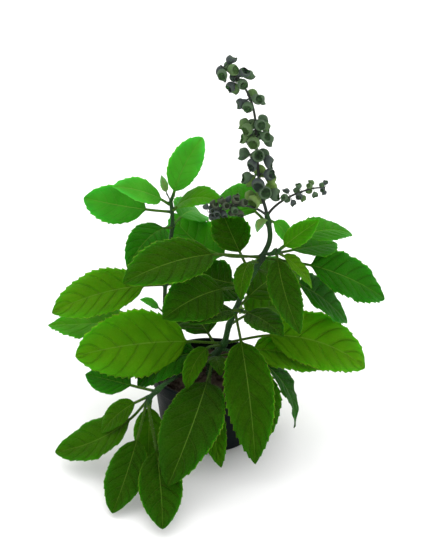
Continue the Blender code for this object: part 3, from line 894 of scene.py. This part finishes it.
# %% Join the leaf stalks to the stems
FOOT_RINGS, FOOT_SIDES = 7, 12
FOOT_OVERLAP = 1.2 * MM
every_stem = np.vstack([line for line, _ in stem_lines.values()])
joints = []
for name in leaf_names:
    bones = leaf_bones[name]
    foot, on = bones["middle"][0], bones["middle"][1]
    nearest = every_stem[np.linalg.norm(every_stem - foot, axis=1).argmin()]
    end = foot + unit(on - foot) * FOOT_OVERLAP
    t = np.linspace(0, 1, FOOT_RINGS)[:, None]
    line = nearest * (1 - t) ** 2 + foot * 2 * t * (1 - t) + end * t**2
    thick = bones["stalk_radius"] * np.linspace(1.6, 1.1, FOOT_RINGS)
    joints.append(skinned(line, np.tile(thick[:, None], (1, FOOT_SIDES))))
piece("stalk_feet", *gathered(joints), stem_finish, "stem")
print("stalk feet:", len(joints))

# %% [markdown]
# ## Hairs
# Fine pale hairs stand out from the stems and the leaf stalks. They are far too thin to count, but
# together they give each stem a soft light outline. A sheen on the material would lighten the whole
# stem instead, so these are real hairs: each is a thin closed spike with its foot in the stem.

# %% A tuft of hairs round a line
HAIR_HALF_WIDTH = 0.035 * MM
HAIR_FOOT = 0.93  # how far out a hair's foot is, in radii of its stem
HAIR_FACES = [(0, 1, 3), (1, 2, 3), (2, 0, 3), (2, 1, 0)]


def hairs_round(line, radius, number, length, seed):
    """Thin spikes that stand out all round a line. Their feet are just inside its surface."""
    dice = np.random.default_rng(seed)
    side, other, ahead = turning_frames(line)
    parts = []
    for _ in range(number):
        spot = dice.integers(1, len(line) - 1)
        angle = dice.uniform(0, 2 * math.pi)
        outward = side[spot] * math.cos(angle) + other[spot] * math.sin(angle)
        sideways = unit(np.cross(outward, ahead[spot]))
        foot = line[spot] + outward * radius[spot] * HAIR_FOOT
        foot = foot + ahead[spot] * dice.uniform(-0.3, 0.3) * MM
        lean = unit(outward + dice.normal(0, 0.22, 3))
        tip = foot + lean * length * dice.uniform(0.5, 1.2)
        first, second = foot + ahead[spot] * HAIR_HALF_WIDTH, foot + sideways * HAIR_HALF_WIDTH
        third = foot - (ahead[spot] + sideways) * 0.7 * HAIR_HALF_WIDTH
        parts.append((np.array([first, second, third, tip]), HAIR_FACES))
    return gathered(parts)


# %% Hair material
hair_finish, tree, shader, place = new_material("pale_hair", Roughness=0.6, Specular_IOR_Level=0.1)
tips = use(tree, patches, place=place, size=0.004, contrast=2.0)["Patches"]
colour = mixed(tree, tips, (0.12, 0.2, 0.10, 1), (0.25, 0.34, 0.24, 1))
plug(tree, colour, shader.inputs["Base Color"])

# %% Scatter hairs over the stems and the leaf stalks
HAIRS_PER_METRE = 7000
STALK_HAIR_SHARE = 0.6
STEM_HAIR, STALK_HAIR = 0.75 * MM, 0.55 * MM
STALK_SPOTS = 12
soil_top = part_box("soil")[1].z
stem_hairs = []
for seed, (line, radius) in enumerate(stem_lines.values()):
    shown = line[:, 2] > soil_top
    line, radius = line[shown], radius[shown]
    number = round(lengths_along(line)[-1] * HAIRS_PER_METRE)
    stem_hairs.append(hairs_round(line, radius, number, STEM_HAIR, 500 + seed))
piece("stem_hairs", *gathered(stem_hairs), hair_finish, "stem", smooth=False)

stalk_hairs = []
for seed, name in enumerate(leaf_names):
    bones = leaf_bones[name]
    line = np.linspace(bones["middle"][0], bones["middle"][1], STALK_SPOTS)
    number = round(lengths_along(line)[-1] * STALK_HAIR_SHARE * HAIRS_PER_METRE)
    if number:
        radius = np.full(STALK_SPOTS, bones["stalk_radius"] * 1.15)
        stalk_hairs.append(hairs_round(line, radius, number, STALK_HAIR, 700 + seed))
piece("stalk_hairs", *gathered(stalk_hairs), hair_finish, "leaf", smooth=False)
hair_faces = sum(len(faces) for _, faces in stem_hairs + stalk_hairs)
print("hairs:", hair_faces // len(HAIR_FACES))

# %% [markdown]
# ## Flower spikes
# When a basil flower has dropped, its calyx stays as a small dry cup on a bent stalk. The cup is
# round like a hood and has two lips: a broad one on top that turns up, and a lower one cut into
# narrow teeth. Several stand in each ring round the spike, some with a small pointed leaflet, a
# bract, under them. A plain cone reads as a bead from afar, but the lips and bracts give the spike
# its ragged outline, so each cup here is a thin hooded shell with both lips.

# %% Read the spikes: where each cup is, how it points and how big it is
STALK_IN_RIMS = 2.963  # from a cup's root on the axis to the bottom of its hollow, in rim radii
RIM_CORNERS = 6
HOLLOW_IN_RIMS = (0.3, 0.6)  # how deep the solid's cups are
SAME_ROOT = 0.7 * MM  # cups of one ring have their roots within this
SAME_PLACE = 0.3 * MM


def read_cups(shape):
    """The seed cups of a spike as (root, outward, rim radius), each found by its hollow."""
    cups = []
    for corner in shape.verts:
        ring = [edge.other_vert(corner) for edge in corner.link_edges]
        if len(ring) != RIM_CORNERS:
            continue
        around = places(ring)
        rim = around.mean(0)
        reach = np.linalg.norm(around - rim, axis=1)
        inwards = rim - np.array(corner.co)
        hollow = np.linalg.norm(inwards) / reach.mean()
        if is_round(reach) and HOLLOW_IN_RIMS[0] < hollow < HOLLOW_IN_RIMS[1]:
            outward = unit(inwards)
            root = np.array(corner.co) - outward * STALK_IN_RIMS * reach.mean()
            cups.append((root, outward, reach.mean()))
    return cups


def read_spike(name):
    """The spike's middle line, from inside the main stem to its tip, and its cups."""
    shape = welded(name)
    shape.normal_update()
    ends = [places(cap).mean(0) for cap in end_caps(shape)]
    cups = read_cups(shape)
    shape.free()
    roots = []
    for root, _, _ in cups:
        if not any(np.linalg.norm(root - other) < SAME_ROOT for other in roots):
            roots.append(root)
    trunk = stem_lines["main_stem"][0]
    ends.sort(key=lambda end: np.linalg.norm(trunk - end, axis=1).min())
    chain, left = [ends[0]], roots + ends[1:]
    while left:
        nearest = min(left, key=lambda place: np.linalg.norm(place - chain[-1]))
        left = [place for place in left if place is not nearest]
        if np.linalg.norm(nearest - chain[-1]) > SAME_PLACE:
            chain.append(nearest)
    nearest = int(np.linalg.norm(trunk - chain[0], axis=1).argmin())
    foot = trunk[min(nearest, len(trunk) - 4)]
    return np.array([foot] + chain), cups


spike_bones = {name: read_spike(name) for name in spike_names}
for name, (line, cups) in spike_bones.items():
    print(name, len(cups), "cups on", round(lengths_along(line)[-1] / MM, 1), "mm")

# %% One seed cup
CUP_AROUND = 20
CUP_ALONG = 11
CUP_UNIT = 2.7  # the rim radius of a full-size cup, in the units that its shape is written in
CUP_START, CUP_LENGTH, CUP_GIRTH = 3.2, 4.7, 2.8
CUP_WALL = 0.13 * MM
STALK_BEND_RINGS = 6


def cup_shell(root, droop, side, up, size):
    """The thin two-lipped shell of a cup, and how far along it each point is, from 0 to 1."""
    turn = spokes_round(CUP_AROUND)
    upper = np.maximum(np.cos(turn), 0) ** 0.8
    lower = np.maximum(-np.cos(turn), 0) ** 0.8
    teeth = 0.5 + 0.5 * np.cos(6 * turn + math.pi)
    s = np.linspace(0, 1, CUP_ALONG)[:, None]
    length = size * (CUP_LENGTH + s**2 * (1.0 * upper + lower * (0.2 + 0.9 * teeth)))
    girth = size * CUP_GIRTH * np.sin(math.pi * (0.06 + 0.7 * s)) ** 1.2
    girth = girth * (1 + s**2 * (0.25 * np.sin(turn) ** 2 + 0.3 * upper))
    rise = size * s**3 * (0.5 * upper - 0.1 * lower)
    sheets = []
    for thin in (0.0, CUP_WALL):
        x = CUP_START * size + length * s - thin * (s > 0.99)
        r = np.maximum(girth - thin, 0.1 * MM)
        middle = root + x[..., None] * droop
        sideways = (r * np.sin(turn))[..., None] * side
        upwards = (r * np.cos(turn) + rise)[..., None] * up
        sheets.append((middle + sideways + upwards).reshape(-1, 3))

    outer = np.arange(CUP_ALONG * CUP_AROUND).reshape(CUP_ALONG, CUP_AROUND)
    inner = outer + outer.size
    lips = np.stack([outer[-1], inner[-1]])
    faces = quads_between(outer).tolist() + quads_between(inner)[:, ::-1].tolist()
    faces += quads_between(lips).tolist()
    faces += [outer[0, ::-1].tolist(), inner[0].tolist()]
    return np.vstack(sheets), faces, np.tile(s, (2, CUP_AROUND)).ravel()


def seed_cup(root, outward, rim, tipwards, dice):
    """A cup on its bent stalk, as (points, faces), and how far out each point is."""
    up = unit(tipwards - (tipwards @ outward) * outward + 1e-9)
    side = np.cross(up, outward)
    size = rim / CUP_UNIT * dice.uniform(0.98, 1.18)
    droop = unit(outward - dice.uniform(0.2, 0.6) * up + dice.uniform(-0.2, 0.2) * side)
    points, faces, along = cup_shell(root, droop, side, up, size)
    bend = np.linspace(0, 1, STALK_BEND_RINGS)[:, None]
    end = root + 3.5 * size * droop
    stalk_line = root * (1 - bend) + end * bend + up * size * 0.7 * np.sin(math.pi * bend)
    stalk, stalk_faces = skinned(stalk_line, np.full((STALK_BEND_RINGS, 8), 0.3 * size))
    return gathered([(points, faces), (stalk, stalk_faces)]), np.append(along, np.zeros(len(stalk)))


# %% Calyx material
CALYX_SHADOW = (0.03, 0.036, 0.036, 1)
CALYX_FUZZ = (0.08, 0.12, 0.08, 1)
CALYX_LIP = (0.09, 0.13, 0.075, 1)

calyx_finish, tree, shader, place = new_material(
    "dry_calyx", Roughness=0.7, Subsurface_Weight=0.2, Subsurface_Scale=0.0008, Specular_IOR_Level=0.08,
)
shader.inputs["Subsurface Radius"].default_value = (0.6, 1.0, 0.5)
tint = painted_value(tree, "tint").outputs["Color"]
reach = painted_value(tree, "reach").outputs["Fac"]
flush = use(tree, patches, place=place, size=0.006, contrast=3.0)["Patches"]
fuzz = use(tree, grain, place=place, size=0.0004, roughness=0.7)["Height"]
colour = mixed(tree, calc(tree, "MULTIPLY", flush, 0.5), tint, CALYX_SHADOW)
colour = mixed(tree, calc(tree, "MULTIPLY", fuzz, 0.4), colour, CALYX_FUZZ)
edge = soft_step(tree, reach, 0.8, 1.0)
colour = mixed(tree, calc(tree, "MULTIPLY", edge, 0.35), colour, CALYX_LIP)
plug(tree, colour, shader.inputs["Base Color"])
bumped(tree, shader, fuzz, 0.2 * MM)
print("cup material:", calyx_finish.name)

# %% One bract
BRACT_RINGS, BRACT_SIDES = 8, 8
BRACT_HALF_THICKNESS = 0.09 * MM
BRACT_DROOP = 0.35


def bract(root, outward, along, length):
    """A small pointed leaflet, as (points, faces)."""
    side = unit(np.cross(along, outward))
    above = np.cross(outward, side)
    t = np.linspace(0, 1, BRACT_RINGS)[:, None]
    turn = spokes_round(BRACT_SIDES)
    half = length * (0.06 + 0.3 * np.sin(math.pi * t**0.8) ** 1.2)
    middle = root + outward * length * t - above * length * BRACT_DROOP * t**2
    points = middle[:, None] + (half * np.cos(turn))[..., None] * side
    points = points + (BRACT_HALF_THICKNESS * np.sin(turn))[None, :, None] * above
    index = np.arange(BRACT_RINGS * BRACT_SIDES).reshape(BRACT_RINGS, BRACT_SIDES)
    faces = quads_between(index)[:, ::-1].tolist()
    return points.reshape(-1, 3), faces + [index[0].tolist(), index[-1, ::-1].tolist()]


# %% The colours of cups and bracts
SPIKE_TONES = {
    "axis": (0.022, 0.017, 0.016),
    "grey green": (0.065, 0.115, 0.055),
    "leaf green": (0.10, 0.18, 0.05),
    "purple": (0.045, 0.048, 0.06),
    "brown": (0.045, 0.042, 0.028),
    "fresh bract": (0.20, 0.34, 0.06),
}
CUP_TONES = {
    "middle_spike": ("grey green", "grey green", "leaf green", "purple"),
    "left_spike": ("brown", "brown", "purple", "grey green"),
    "right_spike": ("grey green", "purple", "grey green", "leaf green"),
}


def cup_tone(name, share, dice):
    """One cup's colour. share: how far up the spike it is. Tips are purple, the foot is fresh."""
    tone = CUP_TONES[name][dice.integers(4)]
    if share > 0.85 and dice.uniform() < 0.6:
        tone = "purple"
    if share < 0.3 and name == "middle_spike" and dice.uniform() < 0.35:
        tone = "fresh bract"
    return tone


# %% The axis of a spike
AXIS_STEP = 0.6 * MM
AXIS_FOOT, AXIS_TIP, AXIS_KNOT = 0.85 * MM, 0.45 * MM, 1.0 * MM
AXIS_SIDES = 16


def spike_axis(line, cups, scale):
    """The fine middle line of a spike, and its tube, thicker where cups grow from it."""
    distance = lengths_along(line)
    spots = np.arange(0, distance[-1], AXIS_STEP)
    fine = curve_through(distance, line, spots)
    thick = np.interp(spots, [0, distance[-1]], [AXIS_FOOT, AXIS_TIP]) * (0.5 + 0.5 * scale)
    for root, _, _ in cups:
        near = np.linalg.norm(fine - root, axis=1)
        thick = np.maximum(thick, AXIS_KNOT * scale * np.exp(-(near / (0.9 * MM)) ** 2))
    square = 1 + 0.06 * np.cos(np.arange(AXIS_SIDES) * math.pi / 2)
    return fine, skinned(fine, thick[:, None] * square[None])


# %% Build the spikes
for seed, name in enumerate(spike_names):
    line, cups = spike_bones[name]
    dice = np.random.default_rng(900 + seed)
    scale = max(rim for _, _, rim in cups) / (CUP_UNIT * MM)
    fine, axis = spike_axis(line, cups, scale)
    ahead = unit(np.gradient(fine, axis=0))
    parts, reaches, tones = [axis], [np.zeros(len(axis[0]))], ["axis"]
    for root, outward, rim in cups:
        spot = np.linalg.norm(fine - root, axis=1).argmin()
        share = spot / len(fine)
        cup, reach = seed_cup(root, outward, rim, ahead[spot], dice)
        parts.append(cup)
        reaches.append(reach)
        tones.append(cup_tone(name, share, dice))
        if dice.uniform() < 0.5:
            length = scale * dice.uniform(3, 4.5) * MM
            leaflet = bract(root - ahead[spot] * 0.8 * MM, outward, ahead[spot], length)
            parts.append(leaflet)
            reaches.append(np.full(len(leaflet[0]), 0.5))
            tones.append("fresh bract" if share < 0.45 and name == "middle_spike" else "leaf green")
    tints = [np.tile(SPIKE_TONES[tone], (len(part[0]), 1)) for tone, part in zip(tones, parts)]
    spike = piece("fine_" + name, *gathered(parts), calyx_finish, "flower_spike")
    paint(spike, {"reach": np.concatenate(reaches)}, np.vstack(tints))
    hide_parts(name)
    print("fine_" + name, len(spike.data.polygons), "faces")

# %% [markdown]
# ## Buds
# Each short shoot ends in a bud of tiny leaves that are still folded over one another. The one in
# front is fresh and bright, and the others are older. One egg-shaped ball could stand for a bud,
# but its leaflets show at the outline, so a bud is five leaflets of the kind made for the spikes,
# set round the shoot's end.

# %% Set a bud on the end of each shoot
BUD_TONES = {"front_shoot": "fresh bract", "right_shoot": "brown", "base_right_shoot": "leaf green"}
BUD_LEAFLETS = 5
BUD_SPREAD, BUD_CURL = 0.55, 1.2
bud_parts, bud_tones = [], []
dice = np.random.default_rng(77)
for name, tone in BUD_TONES.items():
    line = stem_lines[name][0]
    ahead = unit(line[-1] - line[-4])
    across = unit(np.cross(ahead, (0.2, 0.3, 1)))
    other = np.cross(ahead, across)
    for number in range(BUD_LEAFLETS):
        angle = 2 * math.pi * number / BUD_LEAFLETS + dice.uniform(-0.3, 0.3)
        sideways = across * math.cos(angle) + other * math.sin(angle)
        outward, along = unit(ahead + BUD_SPREAD * sideways), unit(ahead - BUD_CURL * sideways)
        leaflet = bract(line[-3], outward, along, dice.uniform(2.6, 3.6) * MM)
        bud_parts.append(leaflet)
        bud_tones.append(np.tile(SPIKE_TONES[tone], (len(leaflet[0]), 1)))
buds = piece("shoot_buds", *gathered(bud_parts), calyx_finish, "young_leaf")
paint(buds, {"reach": np.full(len(buds.data.vertices), 0.5)}, np.vstack(bud_tones))
print("bud leaflets:", len(bud_parts))

# %% [markdown]
# ## Pot
# The pot is a plain moulded nursery pot: a thin tapered wall, a band under the rim, and holes in
# its base. The solid has forty flat sides, so the pot is turned again with four times as many and
# with its edges rounded, as moulded plastic is. The heights and radii are read from the solid.

# %% Read the pot's levels
SAME_LEVEL = 0.02 * MM
pot_corners = places(frame["nodes"]["pot"].data.vertices)
pot_radius = np.hypot(pot_corners[:, 0], pot_corners[:, 1])


def radii_at(height):
    """The smallest and the largest radius of the pot's corners at a height."""
    level = np.abs(pot_corners[:, 2] - height) < SAME_LEVEL
    return pot_radius[level].min(), pot_radius[level].max()


levels = sorted(set(np.round(pot_corners[:, 2] / MM, 2)))
for level in levels:
    print("at", float(level), "mm the radii are", [round(r / MM, 2) for r in radii_at(level * MM)])

# %% Round a profile and turn it


def rounded(profile, radius, steps=3):
    """A profile whose inner corners are small arcs. The first and last points stay."""
    profile = [np.array(point, float) for point in profile]
    line = [profile[0]]
    for before, corner, after in zip(profile, profile[1:], profile[2:]):
        room = min(radius, *(0.45 * np.linalg.norm(corner - other) for other in (before, after)))
        start, end = corner + unit(before - corner) * room, corner + unit(after - corner) * room
        for t in np.linspace(0, 1, steps):
            line.append(start * (1 - t) ** 2 + corner * 2 * t * (1 - t) + end * t**2)
    return line + [profile[-1]]


def turned(name, profile, sides, finish, slot):
    """A closed solid turned about Z from a profile that starts and ends on the axis."""
    angle = spokes_round(sides)
    x, y = np.cos(angle), np.sin(angle)
    rings = [np.stack([r * x, r * y, np.full(sides, z)], 1) for r, z in profile[1:-1]]
    points = np.vstack(rings + [[(0, 0, profile[0][1])], [(0, 0, profile[-1][1])]])
    index = np.arange(len(rings) * sides).reshape(len(rings), sides)
    after = np.roll(index, -1, axis=1)
    faces = quads_between(index)[:, ::-1].tolist()
    first, last = len(points) - 2, len(points) - 1
    faces += [(first, int(index[0, k]), int(after[0, k])) for k in range(sides)]
    faces += [(last, int(after[-1, k]), int(index[-1, k])) for k in range(sides)]
    return piece(name, points, faces, finish, slot)


# %% The pot's profile
foot_level, pot_floor, band_foot = (level * MM for level in levels[1:4])
pot_top = levels[-1] * MM
wall_inside = radii_at(pot_top)[0]
floor_inside = radii_at(pot_floor)[1]
under_band, band_out = radii_at(band_foot)
base_out = radii_at(0)[1]
profile = [
    (0, pot_floor), (floor_inside, pot_floor), (wall_inside, pot_top), (band_out, pot_top),
    (band_out, band_foot), (under_band, band_foot), (radii_at(foot_level)[1], foot_level),
    (base_out, 0), (0, 0),
]
print("pot profile in mm:", [(round(r / MM, 2), round(z / MM, 2)) for r, z in profile])

# %% Pot material, and the pot
POT_SIDES = 160
POT_ROUND = 0.45 * MM
POT_DARK, POT_SCUFFED = (0.001, 0.0025, 0.003, 1), (0.004, 0.008, 0.008, 1)

pot_finish, tree, shader, place = new_material("black_moulded_plastic", Specular_IOR_Level=0.06)
scuffs = use(tree, patches, place=place, size=0.012, contrast=2.5)["Patches"]
moulding = use(tree, grain, place=place, size=0.0006, roughness=0.6)["Height"]
plug(tree, mixed(tree, scuffs, POT_DARK, POT_SCUFFED), shader.inputs["Base Color"])
plug(tree, calc(tree, "MULTIPLY_ADD", scuffs, 0.2, 0.4), shader.inputs["Roughness"])
bumped(tree, shader, moulding, 0.1 * MM)

pot = turned("moulded_pot", rounded(profile, POT_ROUND), POT_SIDES, pot_finish, "pot")
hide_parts("pot")
print("pot:", len(pot.data.polygons), "faces")

# %% Drill the drain holes where the solid has them
DRAIN_HOLES = 5
DRILL_SIDES = 40
DRILL_LENGTH = 8 * MM

on_base = (pot_corners[:, 2] < 0.01 * MM) & (pot_radius < base_out - 3 * MM) & (pot_radius > 5 * MM)
base_corners = pot_corners[on_base]
step = 2 * math.pi / DRAIN_HOLES
sector = np.round(np.arctan2(base_corners[:, 1], base_corners[:, 0]) / step).astype(int) % DRAIN_HOLES
for number in range(DRAIN_HOLES):
    around = base_corners[sector == number]
    centre = (around.min(0) + around.max(0)) / 2
    width = np.linalg.norm(around - centre, axis=1).mean()
    drill_mesh = bpy.data.meshes.new("drill")
    shape = bmesh.new()
    bmesh.ops.create_cone(
        shape, cap_ends=True, segments=DRILL_SIDES, radius1=width, radius2=width, depth=DRILL_LENGTH
    )
    shape.to_mesh(drill_mesh)
    shape.free()
    drill = bpy.data.objects.new(f"drill_{number}", drill_mesh)
    bpy.context.scene.collection.objects.link(drill)
    drill.location = centre
    drill.hide_render = drill.hide_viewport = True
    cut = pot.modifiers.new("hole", "BOOLEAN")
    cut.operation = "DIFFERENCE"
    cut.object = drill
    print("drain hole", number, "at", [round(x / MM, 1) for x in centre], "radius", round(width / MM, 2))

# %% [markdown]
# ## Soil
# Potting soil is a loose heap of peat crumbs and bark chips. Its body is one turned mound with a
# rough top, and some hundreds of crumbs of many sizes are half sunk into it. A bumped flat disc
# would do from above, but the crumbs keep the surface alive when the view is low.

# %% Read the soil's mound
soil_corners = places(frame["nodes"]["soil"].data.vertices)
soil_radius = np.hypot(soil_corners[:, 0], soil_corners[:, 1])
soil_foot, soil_peak = soil_corners[:, 2].min(), soil_corners[:, 2].max()
rim_corner = soil_radius.argmax()
soil_reach, soil_edge = soil_radius[rim_corner], soil_corners[rim_corner, 2]
foot_reach = soil_radius[soil_corners[:, 2] < soil_foot + SAME_LEVEL].max()
mound = soil_peak - soil_edge
print("soil:", round(soil_reach / MM, 1), "mm in radius,", round(mound / MM, 1), "mm mounded")


def soil_height(r):
    return soil_edge + (soil_peak - soil_edge) * (1 - (r / soil_reach) ** 2)


# %% Soil material
WET_PEAT, DAMP_PEAT = (0.012, 0.007, 0.005, 1), (0.045, 0.028, 0.018, 1)
DRY_FIBRE = (0.09, 0.06, 0.04, 1)

soil_finish, tree, shader, place = new_material("potting_soil", Roughness=0.95, Specular_IOR_Level=0.25)
damp = use(tree, patches, place=place, size=0.008, contrast=2.5)["Patches"]
peat = use(tree, grain, place=place, size=0.0012, roughness=0.8)["Height"]
colour = mixed(tree, damp, WET_PEAT, DAMP_PEAT)
colour = mixed(tree, calc(tree, "MULTIPLY", peat, 0.6), colour, DRY_FIBRE)
plug(tree, colour, shader.inputs["Base Color"])
bumped(tree, shader, peat, 0.6 * MM)
print("soil material:", soil_finish.name)

# %% Heap the soil and roughen its top
HEAP_SIDES, HEAP_RINGS = 140, 44
ROUGH_WAVES = (9, 4, 2, 1.1)  # in mm
ROUGH_HEIGHT = 0.03 * MM

profile = [(0, soil_peak)]
profile += [(r, soil_height(r)) for r in np.linspace(0.6 * MM, soil_reach, HEAP_RINGS)]
profile += [(foot_reach, soil_foot), (0, soil_foot)]
soil = turned("soil_heap", profile, HEAP_SIDES, soil_finish, "soil")
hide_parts("soil")
heap = places(soil.data.vertices)
rough = np.zeros(len(heap))
dice = np.random.default_rng(41)
for size in ROUGH_WAVES:
    turn, push = dice.uniform(0, WAVE_TURN, 2), dice.uniform(0, WAVE_TURN, 2)
    for k in range(2):
        across = heap[:, 0] * math.cos(turn[k]) + heap[:, 1] * math.sin(turn[k])
        rough += ROUGH_HEIGHT * size**0.8 * np.sin(WAVE_TURN * across / (size * MM) + push[k])
near_wall = ramp(np.hypot(heap[:, 0], heap[:, 1]), soil_reach - 1.5 * MM, soil_reach)
heap[:, 2] += rough * ((heap[:, 2] > soil_edge - 0.1 * MM) * (1 - near_wall))
soil.data.vertices.foreach_set("co", heap.ravel())

# %% Scatter the crumbs
CRUMBS = 420
STEM_CLEARANCE = 2.2 * MM
CRUMB_LIFT = 0.25  # how high a crumb's middle is above the mound, in crumb radii

ball = bmesh.new()
bmesh.ops.create_icosphere(ball, subdivisions=2, radius=1)
ball_points = places(ball.verts)
ball_faces = [[corner.index for corner in face.verts] for face in ball.faces]
ball.free()
trunk = stem_lines["main_stem"][0]
stem_spot = trunk[np.abs(trunk[:, 2] - soil_peak).argmin()][:2]
crumbs = []
while len(crumbs) < CRUMBS:
    size = MM * (0.35 + 1.5 * dice.uniform() ** 3)
    room = soil_reach - size * 1.6
    spot = dice.uniform(-1, 1, 2) * room
    r = np.hypot(*spot)
    if r > room or np.hypot(*(spot - stem_spot)) < STEM_CLEARANCE + size:
        continue
    squash = dice.uniform(0.55, 1.25, 3)
    lumps = 1 + 0.22 * np.sin(ball_points * dice.uniform(2, 5, 3) + dice.uniform(0, 6, 3)).sum(1)
    crumb = ball_points * lumps[:, None] * squash * size
    angle = dice.uniform(0, WAVE_TURN)
    cosine, sine = math.cos(angle), math.sin(angle)
    spin = np.array([[cosine, -sine, 0], [sine, cosine, 0], [0, 0, 1]])
    crumbs.append((crumb @ spin.T + (*spot, soil_height(r) + CRUMB_LIFT * size), ball_faces))
piece("soil_crumbs", *gathered(crumbs), soil_finish, "soil")
print("crumbs:", len(crumbs))
